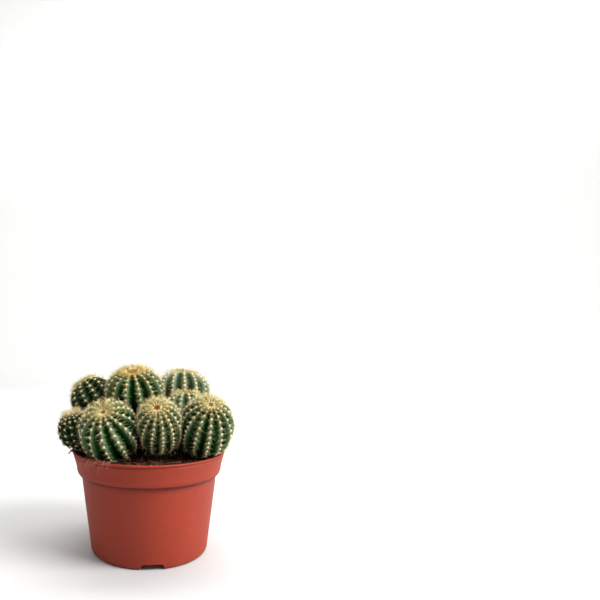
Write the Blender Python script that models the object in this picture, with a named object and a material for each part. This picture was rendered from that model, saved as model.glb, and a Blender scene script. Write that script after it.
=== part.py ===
"""A clump of ribbed globe cactus heads with golden crowns, growing in a terracotta-red nursery pot.

All lengths are in millimetres until a mesh is made. The pot stands on z = 0 with its axis on the
Z axis, and -Y is the front. Each head is one closed solid: a ribbed globe on a trunk that stands
in a plain hole in the soil, with an areole and a pair of spines raised at each step of each rib.
Where two heads meet, both are pressed flat against the plane between them, as they grow.
"""

import math
import random
from dataclasses import dataclass

import bmesh
import bpy
import numpy as np

METRES_PER_MM = 0.001

# The pot
POT_HEIGHT = 77.2
LIP_RADIUS = 60.0
LIP_HEIGHT = 1.6
COLLAR_HEIGHT = 17.8
COLLAR_TOP_RADIUS = 59.2
COLLAR_FOOT_RADIUS = 56.8
COLLAR_ROUNDING = 4.0
BODY_TOP_RADIUS = 52.9
BODY_FOOT_RADIUS = 45.8
CORNER_RADIUS = 3.4
FOOT_RADIUS = 43.4
FOOT_RING_WIDTH = 1.8
WALL = 1.2
FLOOR_UNDERSIDE = 4.5
FLOOR_CORNER = 1.5
PAD_RADIUS = 8.0
EASED_EDGE = 0.5
TURN_STEPS = 40

# The drainage: notches through the foot ring and holes through the floor
NOTCH_COUNT = 3
NOTCH_WIDTH = 17.5
NOTCH_FIRST = math.radians(-87.0)
NOTCH_HEIGHT = 4.2
NOTCH_TAPER = 1.4
NOTCH_REACH = 5.0
DRAIN_COUNT = 6
DRAIN_RADIUS = 3.6
DRAIN_CIRCLE = 28.0
DRAIN_SIDES = 10
CUTTER_EXTRA = 1.0

# The soil
SOIL_LEVEL = 73.0
SOIL_RELIEF = 0.8
SOIL_RINGS = 7
SOIL_STEPS = 36
SOIL_SEED = 11
SOCKET_SIDES = 14
SOCKET_CLEAR = 0.55
CLEAR = 0.3

# The cactus heads
RIB_DEPTH = 0.17
FIRST_RIB_SHARE = 0.45
TRUNK_RIB_SHARE = 0.7
AREOLE_HALF_LENGTH = 0.85
AREOLE_HALF_WIDTH = 0.7
AREOLE_RISE = 0.4
SPINE_LENGTH = 6.2
SPINE_STANDOFF = 3.6
SPINE_SPLAY = 0.41
WIDEST_SPLAY = 3.5
SPINE_DROP_AT_CROWN = -0.55
SPINE_DROP_GAIN = 1.6
SPINE_DROP_MOST = 0.75
SPINE_SHORTEST_SHARE = 0.5
SPINE_TRIM = 0.1
LAST_AREOLE_ANGLE = math.radians(128.0)
TRUNK_STEP = 10.0
TRUNK_TAPER = 2.4
STEM_DEPTH = 6.0
STEM_FLARE = 2.2

# How heads that touch are pressed flat, and how high they keep over the soil and the lip
PRESS_SOFTNESS = 3.0
PRESS_GAP = 0.8
PRESS_STEPS = 24
BALL_SHARE = 0.97
OVER_SOIL = 0.5
OVER_LIP = 0.7
LIP_SLOPE_START = 50.0
LIP_SLOPE_WIDTH = 6.0

# The crowns: the dish in each head's top, and the rings of its wool as (share of the edge, rise)
CROWN_DIP = 0.07
CROWN_HEIGHT = 0.10
DISH_SHARE = 0.62
WOOL_FOOT_SHARE = 0.58
WOOL_EDGE_SHARE = 0.90
WOOL_RINGS = ((0.72, 1.0), (0.36, 1.25))
WOOL_MIDDLE_RISE = 0.7
YOUNG_SPINE_SHARE = 0.75
YOUNG_SPINE_SPREAD = 0.35

FLESH_GREEN = (0.035, 0.105, 0.04)
CROWN_GOLD = (0.72, 0.52, 0.16)
POT_RED = (0.42, 0.085, 0.045)
SOIL_BROWN = (0.03, 0.02, 0.014)


@dataclass
class Head:
    """One head: its globe's middle, its size, where it leans and where its stem meets the soil.

    The upper half of the globe is a superellipse: square is its power, and 2 is a plain ellipse.
    """

    name: str
    middle: tuple
    radius: float
    half_height: float
    drop: float
    lean_towards: float
    lean: float
    root: tuple
    stem_radius: float = 8.0
    ribs: int = 13
    areoles: int = 5
    crown: float = 0.46
    turn: float = 0.0
    square: float = 2.1


HEADS = [
    Head("front_left", (-29, -30, 95.2), 21.6, 24, 25, -102, 44, (-25, -19), 13, 12, 7),
    Head("front_centre", (7.6, -30, 98.8), 16.9, 24.3, 25, -97, 47, (8, -19), 11.5, areoles=6, turn=0.28),
    Head("front_right", (42.7, -28, 98.6), 19.8, 23.5, 28, -85, 39, (39.5, -20.5), 10.5, areoles=7,
         turn=0.27),
    Head("far_left", (-57.2, -5, 92), 13.4, 15.6, 15.5, -130, 20, (-48.5, -2), 6.5, ribs=15, turn=0.31),
    Head("back_left", (-45.1, 20, 112.2), 18.9, 19.2, 22, 165, 35, (-33, 13), 9, areoles=6, turn=0.59,
         square=2.3),
    Head("back_centre", (-11.5, 3, 118.2), 23.3, 21.3, 39.5, -104, 20, (-10.5, 11), 11, areoles=8,
         turn=0.34, square=2.6),
    Head("back_right", (29.4, 36, 115.7), 23.2, 19, 35, 60, 14, (27, 30), 11, ribs=14, areoles=7, turn=0.17,
         square=2.6),
    Head("mid_right", (29.6, 2, 103.6), 17.4, 16.5, 24, 75, 8, (31.5, 1), 8.5, crown=0.4, square=2.6),
    Head("rear_right", (3, 46, 96), 18, 20, 20, 90, 34, (3, 37), 10.5, turn=0.1, square=2.2),
    Head("rear_left", (-31, 42, 95), 16.5, 19, 19, 125, 30, (-26, 36), 9.5, turn=0.2, square=2.2),
]


def clear_scene():
    for item in list(bpy.data.objects):
        bpy.data.objects.remove(item, do_unlink=True)


def painted(name, colour, roughness):
    material = bpy.data.materials.new(name)
    material.use_nodes = True
    shader = material.node_tree.nodes["Principled BSDF"]
    shader.inputs["Base Color"].default_value = (*colour, 1.0)
    shader.inputs["Roughness"].default_value = roughness
    shader.inputs["Metallic"].default_value = 0.0
    material.diffuse_color = (*colour, 1.0)
    return material


def object_from(name, shape, material=None, smooth_angle=None):
    """An object whose mesh is the bmesh shape, taken from millimetres to metres."""
    bmesh.ops.scale(shape, vec=(METRES_PER_MM,) * 3, verts=shape.verts)
    mesh = bpy.data.meshes.new(name)
    shape.to_mesh(mesh)
    shape.free()
    if smooth_angle is not None:
        mesh.shade_smooth()
        mesh.set_sharp_from_angle(angle=smooth_angle)
    item = bpy.data.objects.new(name, mesh)
    if material:
        mesh.materials.append(material)
    bpy.context.scene.collection.objects.link(item)
    return item


def turned(profile, steps):
    """The bmesh of a closed outline of (radius, height) points, turned once about the Z axis."""
    shape = bmesh.new()
    corners = [shape.verts.new((radius, 0.0, height)) for radius, height in profile]
    edges = [shape.edges.new((a, b)) for a, b in zip(corners, corners[1:])]
    bmesh.ops.spin(
        shape, geom=corners + edges, cent=(0, 0, 0), axis=(0, 0, 1),
        angle=math.tau, steps=steps, use_merge=True,
    )
    bmesh.ops.remove_doubles(shape, verts=shape.verts, dist=0.01)
    bmesh.ops.recalc_face_normals(shape, faces=shape.faces)
    return shape


def cut(item, cutter):
    """Cuts the cutter out of the item with a live Boolean, and keeps the cutter out of renders."""
    cutter.hide_render = True
    cutter.display_type = "WIRE"
    boolean = item.modifiers.new("cut by " + cutter.name, "BOOLEAN")
    boolean.operation = "DIFFERENCE"
    boolean.solver = "EXACT"
    boolean.object = cutter


def inner_wall():
    """The inside of the pot's wall, from its top down: collar, step, body and the floor's corner."""
    collar_foot = POT_HEIGHT - COLLAR_HEIGHT
    return [
        (COLLAR_TOP_RADIUS - WALL, POT_HEIGHT - EASED_EDGE),
        (COLLAR_FOOT_RADIUS - WALL, collar_foot + COLLAR_ROUNDING),
        (BODY_TOP_RADIUS - WALL, collar_foot + WALL),
        (BODY_FOOT_RADIUS - WALL, FLOOR_UNDERSIDE + WALL + FLOOR_CORNER),
        (BODY_FOOT_RADIUS - WALL - FLOOR_CORNER, FLOOR_UNDERSIDE + WALL),
    ]


def pot_profile():
    """The pot's outline, from the middle of its underside out, up, over the lip and down inside."""
    collar_foot = POT_HEIGHT - COLLAR_HEIGHT
    lip_foot = POT_HEIGHT - LIP_HEIGHT
    ring_inside = FOOT_RADIUS - FOOT_RING_WIDTH
    overhang = COLLAR_FOOT_RADIUS - BODY_TOP_RADIUS
    outside = [
        (0.0, 0.0),
        (PAD_RADIUS, 0.0),
        (PAD_RADIUS + EASED_EDGE, FLOOR_UNDERSIDE),
        (ring_inside - EASED_EDGE, FLOOR_UNDERSIDE),
        (ring_inside, 0.0),
        (FOOT_RADIUS, 0.0),
        (BODY_FOOT_RADIUS - CORNER_RADIUS / 4, CORNER_RADIUS / 3),
        (BODY_FOOT_RADIUS, CORNER_RADIUS),
        (BODY_TOP_RADIUS, collar_foot),
        (BODY_TOP_RADIUS + overhang * 0.7, collar_foot + COLLAR_ROUNDING * 0.3),
        (COLLAR_FOOT_RADIUS, collar_foot + COLLAR_ROUNDING),
        (COLLAR_TOP_RADIUS, lip_foot - EASED_EDGE / 2),
        (LIP_RADIUS, lip_foot + EASED_EDGE / 4),
        (LIP_RADIUS, POT_HEIGHT - EASED_EDGE),
        (LIP_RADIUS - EASED_EDGE, POT_HEIGHT),
        (COLLAR_TOP_RADIUS - WALL + EASED_EDGE / 2, POT_HEIGHT),
    ]
    return outside + inner_wall() + [(0.0, FLOOR_UNDERSIDE + WALL)]


def make_pot():
    pot = object_from(
        "pot", turned(pot_profile(), TURN_STEPS), painted("pot plastic", POT_RED, 0.55), math.radians(30)
    )
    notches = bmesh.new()
    for index in range(NOTCH_COUNT):
        turn = NOTCH_FIRST + math.tau * index / NOTCH_COUNT
        add_notch(notches, turn)
    cut(pot, object_from("notch_cutter", notches))
    drains = bmesh.new()
    for index in range(DRAIN_COUNT):
        turn = math.tau * (index + 0.5) / DRAIN_COUNT
        place = (DRAIN_CIRCLE * math.cos(turn), DRAIN_CIRCLE * math.sin(turn))
        bottom = FLOOR_UNDERSIDE - CUTTER_EXTRA
        top = FLOOR_UNDERSIDE + WALL + CUTTER_EXTRA
        add_cylinder(drains, place, DRAIN_RADIUS, bottom, top, DRAIN_SIDES)
    cut(pot, object_from("drain_cutter", drains))
    return pot


def add_notch(shape, turn):
    """A wedge through the foot ring, wider at the standing plane than at its top."""
    inner, outer = FOOT_RADIUS - NOTCH_REACH, BODY_FOOT_RADIUS + NOTCH_REACH
    outward = np.array([math.cos(turn), math.sin(turn), 0.0])
    along = np.array([-math.sin(turn), math.cos(turn), 0.0])
    up = np.array([0.0, 0.0, 1.0])
    section = [
        (-NOTCH_WIDTH / 2 - NOTCH_TAPER, -CUTTER_EXTRA),
        (NOTCH_WIDTH / 2 + NOTCH_TAPER, -CUTTER_EXTRA),
        (NOTCH_WIDTH / 2 - NOTCH_TAPER, NOTCH_HEIGHT),
        (-NOTCH_WIDTH / 2 + NOTCH_TAPER, NOTCH_HEIGHT),
    ]
    ends = []
    for reach in (inner, outer):
        ends.append([shape.verts.new(outward * reach + along * x + up * z) for x, z in section])
    faces = [shape.faces.new(reversed(ends[0])), shape.faces.new(ends[1])]
    for k in range(len(section)):
        after = (k + 1) % len(section)
        faces.append(shape.faces.new((ends[0][k], ends[0][after], ends[1][after], ends[1][k])))
    bmesh.ops.recalc_face_normals(shape, faces=faces)


def add_cylinder(shape, place, radius, bottom, top, sides):
    made = bmesh.ops.create_cone(
        shape, cap_ends=True, segments=sides, radius1=radius, radius2=radius, depth=top - bottom
    )
    bmesh.ops.translate(shape, vec=(place[0], place[1], (bottom + top) / 2), verts=made["verts"])


def soil_profile():
    """The soil fills the pot's inside, a hair clear of its wall, with rings across its top."""
    lip, *wall, corner = [(radius - CLEAR, height + CLEAR) for radius, height in inner_wall()]
    collar_foot = wall[0]
    share = (SOIL_LEVEL - collar_foot[1]) / (lip[1] - collar_foot[1])
    top_radius = collar_foot[0] + (lip[0] - collar_foot[0]) * share
    outline = [(0.0, corner[1]), corner, *reversed(wall)]
    for ring in range(SOIL_RINGS):
        outline.append((top_radius * (1 - ring / SOIL_RINGS), SOIL_LEVEL))
    outline.append((0.0, SOIL_LEVEL))
    return outline, top_radius


def make_soil():
    outline, top_radius = soil_profile()
    shape = turned(outline, SOIL_STEPS)
    source = random.Random(SOIL_SEED)
    for vertex in shape.verts:
        reach = math.hypot(vertex.co.x, vertex.co.y)
        lift = source.uniform(-SOIL_RELIEF, SOIL_RELIEF)
        if abs(vertex.co.z - SOIL_LEVEL) < 0.01 and reach < top_radius - 1.0:
            vertex.co.z += lift
    soil = object_from("soil", shape, painted("potting soil", SOIL_BROWN, 0.95))
    sockets = bmesh.new()
    for head in HEADS:
        bottom = SOIL_LEVEL - STEM_DEPTH - CLEAR
        top = SOIL_LEVEL + SOIL_RELIEF + CUTTER_EXTRA
        add_cylinder(sockets, head.root, head.stem_radius + SOCKET_CLEAR, bottom, top, SOCKET_SIDES)
    cut(soil, object_from("socket_cutter", sockets))
    return soil


def axes_of(head, lean):
    """(side, back, up) unit vectors of a ring that leans by this angle from upright."""
    towards = math.radians(head.lean_towards)
    flat = np.array([math.cos(towards), math.sin(towards), 0.0])
    upright = np.array([0.0, 0.0, 1.0])
    side = np.array([-math.sin(towards), math.cos(towards), 0.0])
    up = flat * math.sin(lean) + upright * math.cos(lean)
    return side, np.cross(up, side), up


def globe_form(head, angle):
    """(reach from the axis, rise over the middle) of the globe at this angle from its tip."""
    across, along = math.sin(angle), math.cos(angle)
    if along < 0:
        return head.radius * across, head.drop * along
    power = 2 / head.square
    return head.radius * across**power, head.half_height * along**power


def meridian_angles(head):
    """Angles from the head's tip, evenly spaced along its side, from the crown's edge downward."""
    crown_edge = math.asin(head.crown ** (head.square / 2))
    angles = np.linspace(crown_edge, LAST_AREOLE_ANGLE, 60)
    steps = np.diff([globe_form(head, angle) for angle in angles], axis=0)
    run = np.concatenate([[0.0], np.cumsum(np.hypot(*steps.T))])
    return np.interp(np.linspace(0.0, run[-1], head.areoles + 1), run, angles)


def globe_centre(head, angle):
    """The middle of the globe's ring at this angle from its tip."""
    up = axes_of(head, math.radians(head.lean))[2]
    return np.array(head.middle) + up * globe_form(head, angle)[1]


def trunk_rings(head):
    """(middle, lean, radius, share) of rings that shrink and turn upright from globe to stem."""
    start = globe_centre(head, LAST_AREOLE_ANGLE)
    start_radius = head.radius * math.sin(LAST_AREOLE_ANGLE)
    stem_top = np.array([*head.root, SOIL_LEVEL + SOIL_RELIEF + STEM_FLARE])
    count = max(2, round(float(np.linalg.norm(start - stem_top)) / TRUNK_STEP))
    rings = []
    for step in range(1, count + 1):
        share = step / count
        radius = start_radius + (head.stem_radius - start_radius) * share**TRUNK_TAPER
        middle = start + (stem_top - start) * share
        rings.append((middle, math.radians(head.lean) * (1 - share), radius, share))
    return rings


def balls_of(head):
    """The row of balls, as (middle, radius), that stands for a head where room is shared out."""
    up = axes_of(head, math.radians(head.lean))[2]
    middle = np.array(head.middle)
    balls = [(middle, head.radius)]
    balls.append((middle + up * (head.half_height - head.radius), head.radius * BALL_SHARE))
    balls.append((middle - up * max(head.drop - head.radius, 0.0), head.radius * BALL_SHARE))
    balls += [(centre, radius) for centre, _, radius, _ in trunk_rings(head)]
    return balls


def room_at(head, points):
    """How far inside its own head's room each point lies; below 0 it is in a neighbour's."""
    nearest = []
    for heads in ([head], [other for other in HEADS if other is not head]):
        balls = [ball for each in heads for ball in balls_of(each)]
        middles = np.array([middle for middle, _ in balls])
        radii = np.array([radius for _, radius in balls])
        powers = ((points[:, None, :] - middles) ** 2).sum(axis=2) - radii**2
        best = powers.argmin(axis=1)
        nearest.append((powers[np.arange(len(points)), best], middles[best]))
    (own, own_middle), (theirs, their_middle) = nearest
    return (theirs - own) / (2 * np.linalg.norm(own_middle - their_middle, axis=1))


def floor_under(point):
    """The lowest height that a head's body may have at a point: above the soil, or above the lip."""
    reach = math.hypot(point[0], point[1])
    over_soil = SOIL_LEVEL + SOIL_RELIEF + OVER_SOIL
    over_lip = POT_HEIGHT + OVER_LIP
    share = min(max((reach - LIP_SLOPE_START) / LIP_SLOPE_WIDTH, 0.0), 1.0)
    return over_soil + (over_lip - over_soil) * share


def softened(depth, softness):
    """A depth past a limit, turned into one that nears the limit and never passes it."""
    if depth < -softness:
        return depth
    return -softness * math.exp(-(depth + softness) / softness)


def pressed(point, middle, head):
    """The point as the head's neighbours, the soil and the lip leave it, drawn in towards middle."""
    reach = float(np.linalg.norm(point - middle))
    outward = (point - middle) / reach
    steps = np.linspace(0.0, reach + PRESS_SOFTNESS, PRESS_STEPS)
    room = room_at(head, middle + steps[:, None] * outward) - PRESS_GAP / 2
    taken = np.flatnonzero(room < 0.0)
    if len(taken) and taken[0] > 0:
        before, after = taken[0] - 1, taken[0]
        share = room[before] / (room[before] - room[after])
        limit = steps[before] + (steps[after] - steps[before]) * share
        softness = min(PRESS_SOFTNESS, limit / 3)
        point = middle + outward * (limit + softened(reach - limit, softness))
    past = floor_under(point) - point[2]
    return point - np.array([0.0, 0.0, softened(past, PRESS_SOFTNESS) - past])


def fits(root, tip, head):
    """Whether a spine keeps to its own head's room, clear of the soil and the lip."""
    along = root + (tip - root) * np.array([[0.4], [0.7], [1.0]])
    return room_at(head, along).min() > PRESS_GAP / 2 and tip[2] > floor_under(tip) + CLEAR


class Globe:
    """The rows and columns of one head's surface, from the edge of its crown to its stem."""

    def __init__(self, head):
        self.head = head
        self.columns = head.ribs * 2
        self.rows = self.areole_rows() + self.trunk_rows()

    def areole_rows(self):
        rows = []
        ring = axes_of(self.head, math.radians(self.head.lean))
        for step, angle in enumerate(meridian_angles(self.head)):
            radius = globe_form(self.head, angle)[0]
            depth = RIB_DEPTH * ((radius / self.head.radius) ** 0.5 if step else FIRST_RIB_SHARE)
            rows.append((globe_centre(self.head, angle), ring, radius, depth, angle))
        return rows

    def trunk_rows(self):
        rows = []
        for middle, lean, radius, share in trunk_rings(self.head):
            depth = RIB_DEPTH * TRUNK_RIB_SHARE * (1 - share)
            rows.append((middle, axes_of(self.head, lean), radius, depth, None))
        foot = np.array([*self.head.root, SOIL_LEVEL - STEM_DEPTH])
        rows.append((foot, axes_of(self.head, 0.0), self.head.stem_radius, 0.0, None))
        return rows

    def turn_of(self, column):
        return self.head.turn + math.tau * column / self.columns

    def flat_outward(self, row, column):
        """The unit vector in the ring's own plane that points out at a column."""
        ring, turn = self.rows[row][1], self.turn_of(column)
        return ring[0] * math.cos(turn) + ring[1] * math.sin(turn)

    def place(self, row, column):
        """The point of the surface at a row and column; ridges are the even columns."""
        centre, _, radius, depth, _ = self.rows[row]
        point = centre + self.flat_outward(row, column) * radius * (1 - depth * (column % 2))
        if row >= len(self.rows) - 2:
            return point
        return pressed(point, centre, self.head)

    def outward(self, row, column):
        """The globe's outward normal at a row that has areoles."""
        head = self.head
        _, ring, _, _, angle = self.rows[row]
        across, along = math.sin(angle), math.cos(angle)
        height, square = (head.half_height, head.square) if along > 0 else (head.drop, 2.0)
        power = 2 - 2 / square
        normal = self.flat_outward(row, column) * across**power / head.radius
        normal += ring[2] * math.copysign(abs(along) ** power, along) / height
        return normal / np.linalg.norm(normal)

    def has_areole(self, row, column):
        return column % 2 == 0 and 1 <= row <= self.head.areoles

    def dish_point(self, column, share, lift):
        """A point over the crown's dish: share of its radius out, and lift along the head's axis."""
        centre, ring, radius, _, _ = self.rows[0]
        centre = centre + ring[2] * lift
        return pressed(centre + self.flat_outward(0, column) * radius * share, centre, self.head)

    def dish_ring(self, share, lift):
        return [self.dish_point(column, share, lift) for column in range(0, self.columns, 2)]


def make_head(head, material):
    """One head as a closed mesh: crown dish, ribbed rows with areoles and spines, trunk and stem."""
    globe = Globe(head)
    shape = bmesh.new()
    across = globe.columns
    grid = []
    spined = []
    for row in range(len(globe.rows)):
        line = []
        for column in range(across):
            line.append(add_corner(shape, globe, row, column, spined))
        grid.append(line)
    for row in range(len(globe.rows) - 1):
        for column in range(0, across, 2):
            join_cell(shape, grid, row, column, (column + 1) % across, True)
            join_cell(shape, grid, row, column, (column - 1) % across, False)
    close_dish(shape, globe, grid[0])
    shape.faces.new([grid[-1][column]["down"] for column in reversed(range(across))])
    raise_spines(shape, globe, spined)
    bmesh.ops.triangulate(shape, faces=[face for face in shape.faces if len(face.verts) > 3])
    return object_from("head_" + head.name, shape, material)


def add_corner(shape, globe, row, column, spined):
    """The vertices at one row and column: one, or an areole's four, whose halves carry spines."""
    point = globe.place(row, column)
    if not globe.has_areole(row, column):
        vertex = shape.verts.new(point)
        return {"up": vertex, "down": vertex, "left": vertex, "right": vertex}
    outward = globe.outward(row, column)
    downward = globe.place(row + 1, column) - globe.place(row - 1, column)
    downward /= np.linalg.norm(downward)
    aside = np.cross(outward, downward)
    aside /= np.linalg.norm(aside)
    raised = point + outward * AREOLE_RISE
    low = point + outward * AREOLE_RISE / 2
    corner = {
        "up": shape.verts.new(raised - downward * AREOLE_HALF_LENGTH),
        "down": shape.verts.new(raised + downward * AREOLE_HALF_LENGTH),
        "left": shape.verts.new(low - aside * AREOLE_HALF_WIDTH),
        "right": shape.verts.new(low + aside * AREOLE_HALF_WIDTH),
    }
    right = shape.faces.new((corner["up"], corner["down"], corner["right"]))
    left = shape.faces.new((corner["up"], corner["left"], corner["down"]))
    next_ridge = globe.place(row, (column + 2) % globe.columns)
    splay = min(SPINE_SPLAY * np.linalg.norm(point - next_ridge), WIDEST_SPLAY)
    drop_share = SPINE_DROP_AT_CROWN + SPINE_DROP_GAIN * row / globe.head.areoles
    drop = SPINE_LENGTH * min(drop_share, SPINE_DROP_MOST)
    standoff = min(math.sqrt(SPINE_LENGTH**2 - splay**2 - drop**2), SPINE_STANDOFF)
    for face, way in ((right, 1.0), (left, -1.0)):
        root = raised + aside * way * AREOLE_HALF_WIDTH / 2
        spined.append((face, root, outward * standoff + aside * way * splay + downward * drop))
    return corner


def join_cell(shape, grid, row, ridge, valley, right_side):
    """The faces between a ridge and the valley beside it, from one row to the next."""
    near = "right" if right_side else "left"
    top, foot = grid[row][ridge], grid[row + 1][ridge]
    hollow_top, hollow_foot = grid[row][valley]["down"], grid[row + 1][valley]["up"]
    faces = [
        (top["down"], hollow_top, top[near]),
        (top["down"], foot["up"], hollow_top),
        (foot["up"], hollow_foot, hollow_top),
        (foot["up"], foot[near], hollow_foot),
    ]
    for corners in faces:
        if len(set(corners)) == 3:
            shape.faces.new(corners if right_side else corners[::-1])


def close_dish(shape, globe, edge):
    """The shallow dish that the crown sits in: one smaller ring, and its middle."""
    dip = -CROWN_DIP * globe.head.radius
    ring = [shape.verts.new(point) for point in globe.dish_ring(DISH_SHARE, dip)]
    count = len(ring)
    for k in range(count):
        ridge = edge[2 * k]["up"]
        valley = edge[2 * k + 1]["up"]
        after = edge[(2 * k + 2) % globe.columns]["up"]
        shape.faces.new((ridge, valley, ring[k]))
        shape.faces.new((valley, ring[(k + 1) % count], ring[k]))
        shape.faces.new((valley, after, ring[(k + 1) % count]))
    shape.faces.new(ring)


def raise_spines(shape, globe, spined):
    """Pokes each areole's halves into three-sided spines, where their tips have room."""
    for face, root, spine in spined:
        share = 1.0
        while share >= SPINE_SHORTEST_SHARE:
            if fits(root, root + spine * (share + SPINE_TRIM / 2), globe.head):
                break
            share -= SPINE_TRIM
        else:
            continue
        poked = bmesh.ops.poke(shape, faces=[face])
        poked["verts"][0].co = root + spine * share


def make_crown(head, material):
    """The cap of young wool that fills the dish, with a ring of upright young spines."""
    globe = Globe(head)
    dip = -CROWN_DIP * head.radius
    rise = CROWN_HEIGHT * head.radius
    gap = CLEAR + 0.1
    levels = [(WOOL_FOOT_SHARE, dip + gap), (WOOL_EDGE_SHARE, gap)]
    levels += [(share, rise * lift) for share, lift in WOOL_RINGS]
    shape = bmesh.new()
    rings = [[shape.verts.new(point) for point in globe.dish_ring(share, lift)] for share, lift in levels]
    count = len(rings[0])
    spined = []
    shape.faces.new(rings[0][::-1])
    for lower, upper in zip(rings, rings[1:]):
        for k in range(count):
            after = (k + 1) % count
            first = shape.faces.new((lower[k], lower[after], upper[after]))
            shape.faces.new((lower[k], upper[after], upper[k]))
            if upper is not rings[1]:
                spined.append((first, k))
    centre, ring = globe.rows[0][:2]
    top = shape.verts.new(centre + ring[2] * rise * WOOL_MIDDLE_RISE)
    for k in range(count):
        shape.faces.new((rings[-1][k], rings[-1][(k + 1) % count], top))
    raise_young_spines(shape, globe, spined)
    bmesh.ops.triangulate(shape, faces=[face for face in shape.faces if len(face.verts) > 3])
    return object_from("crown_" + head.name, shape, material)


def raise_young_spines(shape, globe, spined):
    """Pokes every other face of the wool's upper rings into an upright young spine."""
    up = globe.rows[0][1][2]
    for order, (face, column) in enumerate(spined):
        if (order + column) % 2:
            continue
        root = np.array(face.calc_center_median())
        direction = up + globe.flat_outward(0, 2 * column + 1) * YOUNG_SPINE_SPREAD
        direction /= np.linalg.norm(direction)
        tip = root + direction * SPINE_LENGTH * YOUNG_SPINE_SHARE
        if not fits(root, tip + direction * CLEAR, globe.head):
            continue
        poked = bmesh.ops.poke(shape, faces=[face])
        poked["verts"][0].co = tip


def main():
    clear_scene()
    make_pot()
    make_soil()
    flesh = painted("cactus flesh", FLESH_GREEN, 0.6)
    wool = painted("crown wool", CROWN_GOLD, 0.9)
    for head in HEADS:
        make_head(head, flesh)
        make_crown(head, wool)


main()
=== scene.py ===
"""A clump of ribbed globe cacti in a red nursery pot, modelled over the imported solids.

Sizes are in metres, and MM turns a size in millimetres into metres. The pot stands on z = 0 with
its axis on the Z axis, and -Y is the front. Each head is one ribbed globe on a trunk that stands in
the soil, pressed flat where it meets its neighbours. Its skin, areole wool, spines and crown are
pieces of their own, and all of them follow the solids' places and sizes.
"""

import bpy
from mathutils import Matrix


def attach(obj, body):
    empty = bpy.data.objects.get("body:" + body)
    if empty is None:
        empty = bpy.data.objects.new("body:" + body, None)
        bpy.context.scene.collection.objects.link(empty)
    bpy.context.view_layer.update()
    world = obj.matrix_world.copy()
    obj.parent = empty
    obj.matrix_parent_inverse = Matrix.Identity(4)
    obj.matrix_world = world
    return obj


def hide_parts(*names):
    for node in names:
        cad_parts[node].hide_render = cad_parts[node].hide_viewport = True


bl_info = {
    "name": "Potted Globe Cactus Clump",
    "version": (1, 0, 0),
    "blender": (4, 5, 0),
    "location": "View3D > Sidebar > Cactus",
    "description": "Models a clump of ribbed globe cacti in a red nursery pot",
    "category": "Add Mesh",
}

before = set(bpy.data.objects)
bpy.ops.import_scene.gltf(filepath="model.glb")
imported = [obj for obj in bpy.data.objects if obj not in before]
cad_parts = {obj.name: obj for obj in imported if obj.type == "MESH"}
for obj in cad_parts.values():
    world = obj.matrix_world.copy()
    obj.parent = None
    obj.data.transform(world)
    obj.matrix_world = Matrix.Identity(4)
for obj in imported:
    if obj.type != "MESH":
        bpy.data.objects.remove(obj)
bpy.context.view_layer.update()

import math
from dataclasses import dataclass

import bpy
import numpy as np
from bpy.props import FloatProperty, FloatVectorProperty, IntProperty, PointerProperty
from mathutils import Matrix, Vector, noise

BODY = "root"
MM = 0.001
UP = np.array([0.0, 0.0, 1.0])


@dataclass
class Head:
    """One head: its globe in millimetres and degrees, its ribs, and the look of its skin and crown.

    half_height and drop are the globe's reach over and under its middle, and square is the power of
    the superellipse that shapes its upper half. turn and twist place the ribs round its axis. spread
    stretches the space between areoles, and centre is the crown's half width. gold and blush colour
    the young wool, tuft is the share of red spines in it, and veil how thick, how many and how
    woolly the spines are. The bloom value sets the skin's grey-green bloom and also paints light and
    shade over the whole head: under 0.9 it darkens the skin as painted shade, and over 1 it lays
    the bloom colour over it as painted light.
    """

    name: str
    middle: tuple
    radius: float
    half_height: float
    drop: float
    lean_towards: float
    lean: float
    root: tuple
    stem_radius: float = 8.0
    ribs: int = 13
    turn: float = 0.0
    twist: float = 0.0
    square: float = 2.1
    spread: float = 1.0
    centre: float = 2.0
    gold: float = 0.5
    blush: float = 0.0
    tuft: float = 0.0
    bloom: float = 0.8
    veil: float = 1.0

    @property
    def place(self):
        """The globe's middle."""
        return np.array(self.middle) * MM

    @property
    def up(self):
        """The way that the globe's tip points."""
        return axes_of(self, math.radians(self.lean))[2]
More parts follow.
